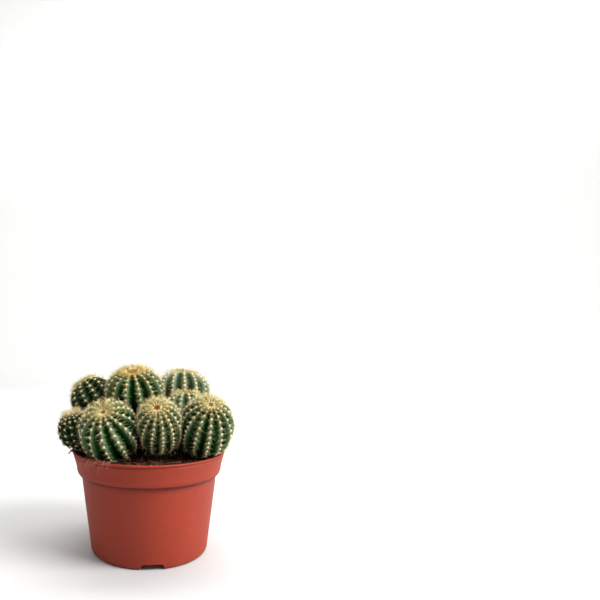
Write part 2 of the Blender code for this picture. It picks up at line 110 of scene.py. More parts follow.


# The values before the named ones stand in the order of the fields above
# A bloom value under 0.9 darkens a whole head as painted shade (far_left, back_left), and one over 1 pales
# it as painted light (back_right, mid_right)
HEADS = [
    Head("front_left", (-29, -30, 95.2), 21.6, 24.0, 25, -102, 44, (-25, -19), 13, 12, 0.06, 0.15,
         spread=1.3, centre=1.6, tuft=0.2, gold=0.3),
    Head("front_centre", (7.6, -30, 98.8), 16.9, 24.3, 25, -97, 47, (8, -19), 11.5, 13, 0.22, -0.17,
         centre=2.2, tuft=1.0, gold=0.4),
    Head("front_right", (42.7, -28, 98.6), 19.8, 23.5, 28, -85, 39, (39.5, -20.5), 10.5, 13, 0.26, -0.03,
         spread=1.1, centre=1.9, gold=0.3),
    Head("far_left", (-57.2, -5, 92.0), 13.4, 15.6, 15.5, -130, 20, (-48.5, -2), 6.5, 15, 0.32, 0.03,
         spread=1.2, centre=1.3, blush=0.7, gold=0.0, bloom=0.1, veil=0.1),
    Head("back_left", (-45.1, 20, 112.2), 18.9, 19.2, 22, 165, 35, (-33, 13), 9, 13, 0.57, -0.07, 2.3,
         spread=1.1, centre=2.2, gold=0.6, bloom=0.15, veil=0.7),
    Head("back_centre", (-11.5, 3, 118.2), 23.3, 21.3, 39.5, -104, 20, (-10.5, 11), 11, 13, 0.34, 0.0, 2.6,
         centre=4.5, gold=1.0, tuft=0.5),
    Head("back_right", (29.4, 36, 115.7), 23.2, 19.0, 35, 60, 14, (27, 30), 11, 14, 0.2, 0.1, 2.6,
         spread=0.9, centre=2.8, gold=0.4, bloom=1.7, veil=1.8),
    Head("mid_right", (29.6, 2, 103.6), 17.4, 16.5, 24, 75, 8, (31.5, 1), 8.5, 13, 0.0, 0.05, 2.6,
         centre=2.4, gold=0.3, bloom=1.6, veil=1.6),
    Head("rear_right", (3, 46, 96), 18, 20, 20, 90, 34, (3, 37), 10.5, 13, 0.1, -0.08, 2.2, tuft=0.5),
    Head("rear_left", (-31, 42, 95), 16.5, 19, 19, 125, 30, (-26, 36), 9.5, 13, 0.2, 0.06, 2.2),
]

# Where a head's globe ends and its trunk starts, as an angle from its tip, and the trunk's form
GLOBE_END = math.radians(128.0)
TRUNK_TAPER = 2.4
TRUNK_BALL_STEP = 10.0 * MM
TRUNK_ROW_STRETCH = 1.3
STEM_DEPTH = 6.0 * MM
STEM_FLARE = 3.0 * MM

# How heads that touch are pressed flat, and how high they keep over the soil and the lip
PRESS_SOFTNESS = 3.0 * MM
PRESS_GAP = 0.7 * MM
PRESS_STEPS = 22
NEIGHBOUR_REACH = 9.0 * MM
BALL_SHARE = 0.97
OVER_SOIL = 1.3 * MM
OVER_LIP = 0.7 * MM
LIP_SLOPE_START = 50.0 * MM
LIP_SLOPE_WIDTH = 6.0 * MM

# How fast the ribs deepen away from the tip, and the angle from the tip where their twist is nil
RIB_GROWTH = 0.7
TWIST_FROM = 0.8

# Where the first drainage notch is, as a turn about the Z axis
NOTCH_FIRST = math.radians(-87.0)

# The share of its length that is tried where a whole spine has no room
SHORTENED = 0.62


# Settings

def number(name, description, default, **kinds):
    return FloatProperty(name=name, description=description, default=default, **kinds)


def length(name, description, default):
    return number(name, description, default, unit="LENGTH", precision=5)


def share(name, description, default):
    return number(name, description, default, min=0.0, max=4.0)


def power(name, description, default):
    return number(name, description, default, unit="POWER")


def colour(name, description, default):
    return FloatVectorProperty(
        name=name, description=description, default=default, subtype="COLOR", size=3, min=0.0, max=1.0
    )


def count(name, description, default):
    return IntProperty(name=name, description=description, default=default, min=1)


class PotSettings(bpy.types.PropertyGroup):
    """Sizes and colours of the moulded pot."""

    height: length("Height", "From the ground to the top of the lip", 77.2 * MM)
    lip_radius: length("Lip Radius", "Outer radius of the bead round the top", 60.0 * MM)
    lip_height: length("Lip Height", "Height of the bead", 1.3 * MM)
    collar_height: length("Collar Height", "From the top of the lip to the step", 17.8 * MM)
    collar_top: length("Collar Top Radius", "Outer radius under the bead", 59.2 * MM)
    collar_foot: length("Collar Foot Radius", "Outer radius above the step", 56.8 * MM)
    collar_rounding: length("Collar Rounding", "Height of the rounding under the collar", 6.6 * MM)
    body_top: length("Body Top Radius", "Outer radius under the step", 52.9 * MM)
    body_foot: length("Body Foot Radius", "Outer radius above the bottom corner", 45.8 * MM)
    corner: length("Corner Radius", "Rounding of the bottom corner", 3.4 * MM)
    foot_radius: length("Foot Radius", "Outer radius of the ring that it stands on", 43.4 * MM)
    foot_width: length("Foot Ring Width", "Width of the ring that it stands on", 1.8 * MM)
    wall: length("Wall", "Thickness of the plastic", 1.2 * MM)
    floor_rise: length("Floor Rise", "From the ground to the underside of the floor", 4.5 * MM)
    pad_radius: length("Pad Radius", "Radius of the pad under the floor's middle", 8.0 * MM)
    notches: count("Notches", "Drainage notches round the foot ring", 3)
    notch_width: length("Notch Width", "Width of a drainage notch at half its height", 17.5 * MM)
    notch_height: length("Notch Height", "Height of a drainage notch", 4.2 * MM)
    notch_taper: length("Notch Taper", "How far a notch's side leans in", 1.4 * MM)
    drains: count("Drain Holes", "Holes in the floor", 6)
    drain_radius: length("Drain Radius", "Radius of a hole in the floor", 3.6 * MM)
    drain_circle: length("Drain Circle", "Radius of the circle that the holes are on", 28.0 * MM)
    sides: count("Sides", "Steps round the pot", 160)
    paint: colour("Colour", "Colour of the plastic", (0.29, 0.032, 0.0128))
    scuff: colour("Scuff Colour", "Colour of the pale scuffs and dust", (0.5, 0.2, 0.14))
    speck: colour("Speck Colour", "Colour of the dark specks", (0.045, 0.012, 0.009))
    shade: colour("Shade Colour", "Colour of the dark line under the collar", (0.1, 0.006, 0.004))


class SoilSettings(bpy.types.PropertyGroup):
    """Sizes and colours of the compost."""

    level: length("Level", "Height of the soil's top", 73.0 * MM)
    relief: length("Relief", "Rise and fall of the soil's top", 1.0 * MM)
    grains: count("Grains", "Loose grains over the top", 2400)
    grain_size: length("Grain Size", "Size of a middling grain", 1.3 * MM)
    fibres: count("Fibres", "Peat fibres over the top", 320)
    fibre_length: length("Fibre Length", "Length of a long fibre", 13.0 * MM)
    shed: count("Shed Spines", "Shed spines that hang over the lip", 26)
    scraps: count("Scraps", "Shrivelled scraps that hang over the lip", 4)
    dark: colour("Dark Colour", "Colour of damp peat", (0.006, 0.004, 0.003))
    brown: colour("Brown Colour", "Colour of dry crumbs", (0.15, 0.066, 0.036))
    tan: colour("Tan Colour", "Colour of chips and fibres", (0.46, 0.2, 0.13))


class FleshSettings(bpy.types.PropertyGroup):
    """Sizes and colours of the heads' skin."""

    rib_depth: share("Rib Depth", "Depth of the valleys, as a share of the radius", 0.25)
    crest_rounding: share("Crest Rounding", "Roundness of the rib crests", 0.1)
    flank_bulge: share("Flank Bulge", "How far the ribs' flanks swell", 0.07)
    per_rib: count("Columns per Rib", "Steps across one rib", 12)
    row_step: length("Row Step", "Distance between two rings of the skin", 0.85 * MM)
    areole_bump: length("Areole Bump", "Rise of the crest under an areole", 0.35 * MM)
    green: colour("Green", "Colour of the flanks", (0.0065, 0.072, 0.006))
    # The valleys' deep green, also laid on as painted shade in the creases and over whole shaded heads
    deep_green_and_shade: colour("Deep Green", "Colour of the valleys", (0.0012, 0.017, 0.0014))
    # The bloom colour, also laid over whole heads as painted light
    bloom: colour("Bloom", "Colour of the waxy bloom near the crests", (0.26, 0.285, 0.225))
    # A dark brown that the trunk under the globe turns to
    dark_trunk: colour("Bark", "Colour of the old skin at the foot", (0.018, 0.012, 0.006))


class SpineSettings(bpy.types.PropertyGroup):
    """Sizes and colours of the areoles and their spines."""

    areole_spacing: length("Areole Spacing", "Distance between areoles down a rib", 4.1 * MM)
    young_spacing: length("Young Spacing", "Distance between the first two areoles of a rib", 2.0 * MM)
    areole_length: length("Areole Length", "Length of an areole's wool", 1.8 * MM)
    areole_width: length("Areole Width", "Width of an areole's wool", 1.45 * MM)
    areole_height: length("Areole Height", "Height of an areole's wool", 1.5 * MM)
    areole_hairs: count("Areole Hairs", "Short hairs on one areole's wool", 16)
    radials: count("Radial Spines", "Spines that fan out along the skin", 6)
    centrals: count("Central Spines", "Spines that stand out of the areole", 1)
    youngest: count("Crown Spines", "More spines on each areole near the crown", 5)
    young_reach: length("Young Reach", "How far from the crown's middle the spines stand up", 24.0 * MM)
    gold_reach: length("Gold Reach", "How far from the crown's middle the spines are dense", 10.0 * MM)
    radial_length: length("Radial Length", "Length of a radial spine", 4.8 * MM)
    central_length: length("Central Length", "Length of a central spine", 5.4 * MM)
    thickness: length("Thickness", "Thickness of a spine at its root", 0.2 * MM)
    young: colour("Young Colour", "Colour of the newest spines", (0.58, 0.43, 0.085))
    grown: colour("Grown Colour", "Colour of the grown spines", (0.56, 0.49, 0.22))
    pale: colour("Pale Colour", "Colour of the palest spines", (0.88, 0.8, 0.52))
    old: colour("Old Colour", "Colour of the oldest spines", (0.2, 0.075, 0.05))
    tip: colour("Tip Colour", "Colour of the central spines' ends", (0.13, 0.012, 0.018))
    wool: colour("Wool Colour", "Colour of the areole wool", (0.95, 0.83, 0.5))
    golden: colour("Golden Wool", "Colour of the wool on golden heads", (0.82, 0.6, 0.24))
    warm: colour("Warm Wool", "Colour of the warmer areoles' wool", (0.8, 0.52, 0.32))
    grey: colour("Grey Wool", "Colour of the oldest wool", (0.42, 0.33, 0.22))


class CrownSettings(bpy.types.PropertyGroup):
    """Sizes and colours of the crowns."""

    dip: share("Dip", "Depth of the hollow in the crown, as a share of the radius", 0.1)
    dip_width: share("Dip Width", "Width of the hollow, as a share of the radius", 0.2)
    hairs: count("Wool Hairs", "Hairs on one crown's cushion", 220)
    hair_length: length("Hair Length", "Length of a wool hair", 0.6 * MM)
    tufts: count("Wool Tufts", "Tufts of wool round the cushion", 20)
    bristles: count("Young Bristles", "Upright young spines on one crown", 46)
    bristle_length: length("Bristle Length", "Length of a young spine", 4.0 * MM)
    reds: count("Red Spines", "Newest spines in a whole red tuft", 22)
    red_length: length("Red Length", "Length of the newest spines", 1.5 * MM)
    cream: colour("Cream", "Colour of the wool's edge", (0.59, 0.51, 0.25))
    gold: colour("Gold", "Colour of the young bristles", (0.56, 0.42, 0.08))
    ochre: colour("Ochre", "Colour of the crown's middle", (0.36, 0.21, 0.008))
    crimson: colour("Crimson", "Colour of the newest spines in the middle", (0.33, 0.012, 0.03))
    warm: colour("Warm Blotches", "Colour of the warm blotches in the wool", (0.62, 0.34, 0.22))
    blush: colour("Blush", "Colour of the wool of a blushing crown", (0.72, 0.46, 0.36))


class StageSettings(bpy.types.PropertyGroup):
    """The camera, the floor and the lights."""

    focal_pixels: number("Focal Length", "Lens in pixels of the frame", 490.0)
    distance: length("Distance", "From the lens to the pot's axis", 0.390)
    lens_height: length("Lens Height", "Height of the lens over the ground", 0.1588)
    axis_column: number("Axis Column", "Pixel column of the pot's axis", 149.2)
    horizon_row: number("Horizon Row", "Pixel row of the horizon", 345.0)
    shift: share("Shift", "The lens's sideways shift; turning the camera does the rest", 0.225)
    key: power("Key Light", "Power of the light from the right", 23.5)
    side: power("Side Light", "Power of the low light beside it", 4.2)
    top: power("Top Light", "Power of the light from above", 18.0)
    wash: power("Wash", "Power of the light on the wall behind", 80.0)
    sky: share("Sky", "Strength of the even light from all round", 0.39)
    floor: colour("Floor Colour", "Colour of the floor", (0.53, 0.53, 0.525))


class CactusSettings(bpy.types.PropertyGroup):
    """All the settings of the potted cactus."""

    pot: PointerProperty(type=PotSettings)
    soil: PointerProperty(type=SoilSettings)
    flesh: PointerProperty(type=FleshSettings)
    spines: PointerProperty(type=SpineSettings)
    crown: PointerProperty(type=CrownSettings)
    stage: PointerProperty(type=StageSettings)


# Small helpers for pieces

def deselect_all():
    bpy.ops.object.select_all(action="DESELECT")


def object_mode():
    bpy.ops.object.mode_set(mode="OBJECT")


def edit_all():
    bpy.ops.object.mode_set(mode="EDIT")
    bpy.ops.mesh.select_all(action="SELECT")


def make_active(item):
    deselect_all()
    item.select_set(True)
    bpy.context.view_layer.objects.active = item


def linked(name, data):
    """A new object in the scene for a mesh, a light or a camera."""
    item = bpy.data.objects.new(name, data)
    bpy.context.scene.collection.objects.link(item)
    return item


def remove(item):
    bpy.data.objects.remove(item, do_unlink=True)


def places_of(mesh):
    """The mesh's vertex places as an array."""
    flat = np.empty(len(mesh.vertices) * 3)
    mesh.vertices.foreach_get("co", flat)
    return flat.reshape(-1, 3)


def set_places(mesh, places):
    mesh.vertices.foreach_set("co", np.asarray(places, float).ravel())
    mesh.update()


def triangles_of(mesh):
    """The mesh's faces as an array of triangles."""
    mesh.calc_loop_triangles()
    flat = np.empty(len(mesh.loop_triangles) * 3, dtype=np.int32)
    mesh.loop_triangles.foreach_get("vertices", flat)
    return flat.reshape(-1, 3)


def add_looks(item, **looks):
    """Numbers for the material to read: one for each vertex, or one for all of them."""
    for name, values in looks.items():
        attribute = item.data.attributes.new(name, "FLOAT", "POINT")
        attribute.data.foreach_set("value", np.full(len(item.data.vertices), values, np.float32))


def smooth(item, angle=None):
    """Shades a piece smooth all over, or only where its faces meet at less than an angle."""
    make_active(item)
    if angle is None:
        bpy.ops.object.shade_smooth()
    else:
        bpy.ops.object.shade_smooth_by_angle(angle=angle)


def finish_piece(item, name, material, replaced=()):
    """Names a finished piece, gives it its material and fixes it to the body."""
    item.name = name
    item.data.name = name
    item.data.materials.clear()
    item.data.materials.append(material)
    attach(item, BODY)
    if replaced:
        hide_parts(*replaced)


def piece_from(name, made, material, replaced=(), smoothed=True):
    """A finished piece from arrays of vertex places and triangles, and the looks of its vertices."""
    places, triangles, looks = made
    mesh = bpy.data.meshes.new(name)
    mesh.vertices.add(len(places))
    mesh.vertices.foreach_set("co", np.asarray(places, float).ravel())
    mesh.loops.add(len(triangles) * 3)
    mesh.loops.foreach_set("vertex_index", np.asarray(triangles, np.int32).ravel())
    mesh.polygons.add(len(triangles))
    mesh.polygons.foreach_set("loop_start", np.arange(len(triangles), dtype=np.int32) * 3)
    mesh.update(calc_edges=True)
    mesh.validate()
    item = linked(name, mesh)
    add_looks(item, **looks)
    if smoothed:
        smooth(item)
    finish_piece(item, name, material, replaced)


def apply_modifier(item, kind, **values):
    """Adds a modifier with these values and applies it."""
    make_active(item)
    modifier = item.modifiers.new(kind.title(), kind)
    for key, value in values.items():
        setattr(modifier, key, value)
    bpy.ops.object.modifier_apply(modifier=modifier.name)


def unit(vectors):
    """The same ways with a length of 1."""
    return vectors / np.linalg.norm(vectors, axis=-1, keepdims=True)


def reach_of(points):
    """How far points are from the Z axis."""
    return np.hypot(points[..., 0], points[..., 1])


def headings(turns, rise=0.0):
    """Ways that are level, or climb by a rise, at these turns about the Z axis."""
    return np.stack([np.cos(turns), np.sin(turns), np.zeros_like(turns) + rise], axis=1)


def run_of(steps):
    """The distance run at each point of a line, from the lengths of the steps between them."""
    return np.concatenate([[0.0], np.cumsum(steps)])


def along_line(stops, run, line):
    """The places at these distances along a line whose points have these runs."""
    return np.stack([np.interp(stops, run, line[:, k]) for k in range(3)], axis=1)


# Shapes that are modelled once and copied

def template(add, shape=None):
    """The vertices and triangles of a primitive, which is removed again once it is shaped."""
    deselect_all()
    add()
    item = bpy.context.active_object
    if shape:
        shape(item)
    made = places_of(item.data), triangles_of(item.data)
    remove(item)
    return made


def ball_shape(subdivisions, radius):
    return template(lambda: bpy.ops.mesh.primitive_ico_sphere_add(subdivisions=subdivisions, radius=radius))


def strand_shape(add, cuts=0, waist=1.0, **form):
    """A thin shape along z from 0 to 1, cut across so that it can bend, and wider at half height."""
    def stand():
        add(depth=1.0, location=(0, 0, 0.5), **form)
        bpy.ops.object.transform_apply(location=True)

    def cut(item):
        for k in range(cuts):
            edit_all()
            bpy.ops.mesh.bisect(plane_co=(0, 0, (k + 1) / (cuts + 1)), plane_no=(0, 0, 1))
            object_mode()
        places = places_of(item.data)
        places[np.abs(places[:, 2] - 0.5) < 0.01, :2] *= waist
        set_places(item.data, places)

    return template(stand, cut)


def fibre_shape():
    """A closed tube that can bend."""
    return strand_shape(
        bpy.ops.mesh.primitive_cylinder_add, cuts=5, vertices=5, radius=1.0, end_fill_type="TRIFAN"
    )


def hair_shape():
    """A three-sided hair."""
    return strand_shape(bpy.ops.mesh.primitive_cone_add, vertices=3, radius1=1.0, radius2=0.0)


def spine_shape():
    """A three-sided spine that keeps its width up to half its height, and can bend there."""
    return strand_shape(
        bpy.ops.mesh.primitive_cone_add, cuts=1, waist=1.6, vertices=3, radius1=1.0, radius2=0.0
    )


def joined(copies, triangles):
    """Places and triangles of one mesh from a shape's copies, each a row of vertex places."""
    steps = np.arange(len(copies)) * copies.shape[1]
    return copies.reshape(-1, 3), (triangles[None] + steps[:, None, None]).reshape(-1, 3)


def strew(shape, places, frames):
    """One mesh of copies of a shape: frames hold each copy's three axes, as rows, with its scale."""
    points, triangles = shape
    return joined(np.einsum("pk,nkj->npj", points, frames) + places[:, None, :], triangles)


def bent_strands(shape, roots, ways, sizes, thicknesses, bends):
    """Copies of a thin shape along z, each turned its own way, made as thick as it is and bent."""
    points, triangles = shape
    along = points[:, 2]
    helper = np.where(np.abs(ways[:, 2:]) > 0.9, np.array([[1.0, 0.0, 0.0]]), UP)
    across = unit(np.cross(helper, ways))
    other = np.cross(ways, across)
    width = thicknesses[:, None] / 2
    moved = roots[:, None] + ways[:, None] * (sizes[:, None] * along)[..., None]
    moved += across[:, None] * (width * points[:, 0])[..., None]
    moved += other[:, None] * (width * points[:, 1])[..., None]
    moved += bends[:, None] * (along**2)[None, :, None]
    return joined(moved, triangles)


def merged(parts):
    """Places and triangles of one mesh from those of several."""
    places, triangles, done = [], [], 0
    for points, faces in parts:
        places.append(points)
        triangles.append(faces + done)
        done += len(points)
    return np.vstack(places), np.vstack(triangles)


def random_turns(source, count):
    """Evenly spread random axes, as the rows of rotation matrices."""
    w, x, y, z = unit(source.normal(size=(count, 4))).T
    rows = [
        [1 - 2 * (y * y + z * z), 2 * (x * y - z * w), 2 * (x * z + y * w)],
        [2 * (x * y + z * w), 1 - 2 * (x * x + z * z), 2 * (y * z - x * w)],
        [2 * (x * z - y * w), 2 * (y * z + x * w), 1 - 2 * (x * x + y * y)],
    ]
    return np.array(rows).transpose(2, 0, 1)


# The form of the heads

def axes_of(head, lean):
    """(side, back, up) unit vectors of the rings that lean by these angles from upright."""
    lean = np.asarray(lean, float)[..., None]
    towards = math.radians(head.lean_towards)
    flat = np.array([math.cos(towards), math.sin(towards), 0.0])
    across = np.array([-math.sin(towards), math.cos(towards), 0.0])
    side = np.broadcast_to(across, lean.shape[:-1] + (3,))
    up = flat * np.sin(lean) + UP * np.cos(lean)
    return side, np.cross(up, side), up


def globe_form(head, angle):
    """Reach from the axis, rise over the middle and slope of the globe at angles from its tip."""
    across, along = np.sin(angle), np.abs(np.cos(angle))
    upper = np.cos(angle) > 0
    power = np.where(upper, head.square, 2.0)
    height = np.where(upper, head.half_height, -head.drop) * MM
    radius = head.radius * MM
    tilt = np.arctan2(radius * along ** (2 - 2 / power), height * across ** (2 - 2 / power))
    tilt = np.where(upper, tilt, tilt - math.pi)
    return radius * across ** (2 / power), height * along ** (2 / power), tilt


def globe_centre(head, angle):
    """The middle of the globe's ring at this angle from its tip."""
    return head.place + head.up * globe_form(head, angle)[1]


def stem_place(head, height):
    """The middle of a head's stem at a height."""
    return np.array([head.root[0] * MM, head.root[1] * MM, height])


def trunk_form(head, soil, shares):
    """Middle, lean and radius of the trunk's rings at these shares of the way down."""
    start = globe_centre(head, GLOBE_END)
    start_radius = head.radius * MM * math.sin(GLOBE_END)
    end = stem_place(head, soil.level + STEM_FLARE)
    radius = start_radius + (head.stem_radius * MM - start_radius) * shares**TRUNK_TAPER
    return start + (end - start) * shares[:, None], math.radians(head.lean) * (1 - shares), radius


def trunk_span(head, soil):
    """The length of a head's trunk, from the end of its globe to its stem."""
    return np.linalg.norm(globe_centre(head, GLOBE_END) - stem_place(head, soil.level + STEM_FLARE))


def balls_of(head, soil):
    """The row of balls, as middles and radii, that stands for a head where room is shared out."""
    middle, up, radius = head.place, head.up, head.radius * MM
    middles = [middle, middle + up * (head.half_height * MM - radius)]
    middles.append(middle - up * max(head.drop * MM - radius, 0.0))
    radii = [radius, radius * BALL_SHARE, radius * BALL_SHARE]
    steps = max(2, round(trunk_span(head, soil) / TRUNK_BALL_STEP))
    centres, _, trunk = trunk_form(head, soil, np.arange(1, steps + 1) / steps)
    return np.vstack([middles, centres]), np.concatenate([radii, trunk])


def room_at(head, points, soil):
    """How far inside its own head's room each point lies; below 0 it is in a neighbour's."""
    own_middles, own_radii = balls_of(head, soil)
    others = [balls_of(other, soil) for other in HEADS if other is not head]
    middles = np.vstack([ball[0] for ball in others])
    radii = np.concatenate([ball[1] for ball in others])
    reach = np.linalg.norm(middles[:, None] - own_middles, axis=2) - radii[:, None] - own_radii
    near = reach.min(axis=1) < NEIGHBOUR_REACH
    flat = points.reshape(-1, 3)
    squares = (flat**2).sum(axis=1)[:, None]
    found = []
    for centres, sizes in ((own_middles, own_radii), (middles[near], radii[near])):
        powers = squares - 2 * flat @ centres.T + (centres**2).sum(axis=1) - sizes**2
        best = powers.argmin(axis=1)
        found.append((powers[np.arange(len(flat)), best], centres[best]))
    (own, own_centre), (theirs, their_centre) = found
    room = (theirs - own) / (2 * np.linalg.norm(own_centre - their_centre, axis=1))
    return room.reshape(points.shape[:-1])


def softened(depth, softness):
    """Depths past a limit, turned into ones that near the limit and never pass it."""
    past = np.maximum(depth, -softness) + softness
    return np.where(depth < -softness, depth, -softness * np.exp(-past / softness))


def floor_under(points, soil, pot):
    """The lowest height that flesh may have at a point: above the soil, or above the lip."""
    over_soil = soil.level + OVER_SOIL
    over_lip = pot.height + OVER_LIP
    slope = np.clip((reach_of(points) - LIP_SLOPE_START) / LIP_SLOPE_WIDTH, 0.0, 1.0)
    return over_soil + (over_lip - over_soil) * slope


def pressed(points, middles, head, soil, pot):
    """The points as neighbours, soil and lip leave them, drawn in towards their rings' middles."""
    rays = points - middles
    reach = np.linalg.norm(rays, axis=-1)
    outward = rays / reach[..., None]
    steps = np.linspace(0.0, 1.0, PRESS_STEPS) * (reach[..., None] + PRESS_SOFTNESS)
    tried = middles[..., None, :] + steps[..., None] * outward[..., None, :]
    room = room_at(head, tried, soil) - PRESS_GAP / 2
    taken = room < 0
    first = taken.argmax(axis=-1)
    blocked = taken.any(axis=-1) & (first > 0)
    after = np.maximum(first, 1)[..., None]
    room_before, room_after, step_before, step_after = (
        np.take_along_axis(values, place, -1)[..., 0]
        for values in (room, steps) for place in (after - 1, after)
    )
    gap = np.where(blocked, room_before - room_after, 1.0)
    limit = step_before + (step_after - step_before) * room_before / gap
    softness = np.clip(limit / 3, 0.1 * MM, PRESS_SOFTNESS)
    held = limit + softened(reach - limit, softness)
    moved = middles + outward * np.where(blocked, held, reach)[..., None]
    past = floor_under(moved, soil, pot) - moved[..., 2]
    moved[..., 2] -= softened(past, PRESS_SOFTNESS) - past
    return moved


def rib_section(phase, flesh):
    """The depth of a rib's section, from 0 on its crest to 1 in the valley."""
    ease = flesh.crest_rounding
    depth = (np.sqrt(phase**2 + ease**2) - ease) / (math.sqrt(1 + ease**2) - ease)
    return depth - flesh.flank_bulge * np.sin(math.pi * phase)


class HeadSkin:
    """The grid of one head's skin: rows from the crown's middle down to the stem's foot."""

    def __init__(self, head, settings):
        self.head = head
        self.settings = settings
        self.per_rib = settings.flesh.per_rib
        self.columns = head.ribs * self.per_rib
        self.build_rows()
        self.build_grid()
        self.find_areoles()

    def build_rows(self):
        """Each ring's middle, axes, radius, rib depth and the slope of its outward normal."""
        head, settings = self.head, self.settings
        flesh, soil, crown = settings.flesh, settings.soil, settings.crown
        radius = head.radius * MM
        fine = np.linspace(0.0, GLOBE_END, 500)
        reach, rise, slope = globe_form(head, fine)
        rise -= crown.dip * radius * np.exp(-(reach / radius / crown.dip_width) ** 2)
        run = run_of(np.hypot(np.diff(reach), np.diff(rise)))
        steps = round(run[-1] / flesh.row_step)
        angles = np.interp(np.linspace(flesh.row_step / 2, run[-1], steps), run, fine)
        tilt = np.interp(angles, fine, slope)
        reaches = np.interp(angles, fine, reach)
        trunk_steps = max(4, round(trunk_span(head, soil) / flesh.row_step / TRUNK_ROW_STRETCH))
        shares = np.arange(1, trunk_steps + 1) / trunk_steps
        lean = math.radians(head.lean)
        globe_middles = head.place + head.up * np.interp(angles, fine, rise)[:, None]
        trunk_middles, trunk_leans, trunk_radii = trunk_form(head, soil, shares)
        self.middles = np.vstack([globe_middles, trunk_middles, stem_place(head, soil.level - STEM_DEPTH)])
        leans = np.concatenate([np.full(len(angles), lean), trunk_leans, [0.0]])
        self.side, self.back, self.up = axes_of(head, leans)
        self.radii = np.concatenate([reaches, trunk_radii, [head.stem_radius * MM]])
        globe_depth = flesh.rib_depth * radius * (reaches / radius) ** RIB_GROWTH
        self.depths = np.concatenate([globe_depth, globe_depth[-1] * (1 - shares), [0.0]])
        self.tilts = np.concatenate([tilt, tilt[-1] * (1 - shares), [0.0]])
        below = np.full(len(shares) + 1, angles[-1])
        self.turns = head.turn + head.twist * (np.concatenate([angles, below]) - TWIST_FROM)
        self.joint_row = len(angles) - 1
        self.stem_row = len(self.radii) - 2

    def build_grid(self):
        """The places of the skin's vertices, as rows by columns."""
        column = np.arange(self.columns)
        turns = self.turns[:, None] + math.tau * column / self.columns
        place = (column % self.per_rib) / self.per_rib
        self.phase = 2 * np.minimum(place, 1 - place)
        section = rib_section(self.phase, self.settings.flesh)
        flat = self.side[:, None] * np.cos(turns)[..., None] + self.back[:, None] * np.sin(turns)[..., None]
        sink = (self.depths[:, None] * section)[..., None]
        tilts = self.tilts[:, None, None]
        self.normals = flat * np.cos(tilts) + self.up[:, None] * np.sin(tilts)
        middles = np.broadcast_to(self.middles[:, None], flat.shape)
        self.grid = middles + flat * self.radii[:, None, None] - self.normals * sink
        body = slice(0, self.stem_row)
        self.grid[body] = pressed(
            self.grid[body], middles[body], self.head, self.settings.soil, self.settings.pot
        )
        self.ease_joint()

    def ease_joint(self):
        """Takes the corner out of the line where the globe goes over into the trunk."""
        grid, start, end = self.grid, self.joint_row - 3, self.stem_row
        for _ in range(6):
            beside = grid[start - 1:end - 1] + grid[start + 1:end + 1]
            grid[start:end] = grid[start:end] * 0.5 + beside * 0.25

    def areole_stops(self, rib, end, source):
        """How far down a rib its areoles are: closer together near the crown."""
        spines = self.settings.spines
        past_crown = 0.6
        stagger = 0.9
        widening = 1.3
        before_end = 1.5 * MM
        stops = []
        stop = (self.head.centre + past_crown + stagger * (rib % 2)) * MM
        gap = spines.young_spacing
        while stop < end - before_end:
            stops.append(stop)
            stop += gap * source.uniform(0.93, 1.07)
            gap = min(gap * widening, spines.areole_spacing * self.head.spread)
        return np.array(stops)

    def find_areoles(self):
        """Places, frames, ages and distances from the crown of the areoles on all the crests."""
        source = np.random.default_rng(len(self.head.name) + self.head.ribs)
        rows = self.grid[:self.stem_row + 1]
        beside = 0.6 * MM
        found = []
        for rib in range(self.head.ribs):
            column = rib * self.per_rib
            line = rows[:, column]
            across = rows[:, (column + 1) % self.columns] - rows[:, column - 1]
            run = run_of(np.linalg.norm(np.diff(line, axis=0), axis=1))
            stops = self.areole_stops(rib, run[-1], source)
            down = along_line(stops + beside, run, line) - along_line(stops - beside, run, line)
            place, aside = along_line(stops, run, line), along_line(stops, run, across)
            found.append((place, unit(down), aside, stops / run[-1], stops))
            self.bump(column, run, stops)
        places, self.downs, asides, self.ages, self.arcs = (np.concatenate(each) for each in zip(*found))
        self.outwards = unit(np.cross(self.downs, asides))
        self.asides = np.cross(self.outwards, self.downs)
        self.places = places + self.outwards * self.settings.flesh.areole_bump * 0.8

    def bump(self, column, run, stops):
        """Raises the crest a little under each areole, and lets it dip between them."""
        reach = 1.2 * MM
        near = np.abs(run[:, None] - stops).min(axis=1)
        wave = self.settings.flesh.areole_bump * np.exp(-(near / reach) ** 2)
        rows = slice(0, self.stem_row + 1)
        for offset, part in ((0, 1.0), (1, 0.6), (-1, 0.6), (2, 0.2), (-2, 0.2)):
            place = (column + offset) % self.columns
            self.grid[rows, place] += self.normals[rows, place] * (wave * part)[:, None]


SKINS = []


def skins_of(settings):
    """The skin of every head, worked out once and kept for the pieces that stand on it."""
    if not SKINS:
        SKINS.extend(HeadSkin(head, settings) for head in HEADS)
    return SKINS


# Materials

def shaded(colour, by):
    return tuple(part * by for part in colour)


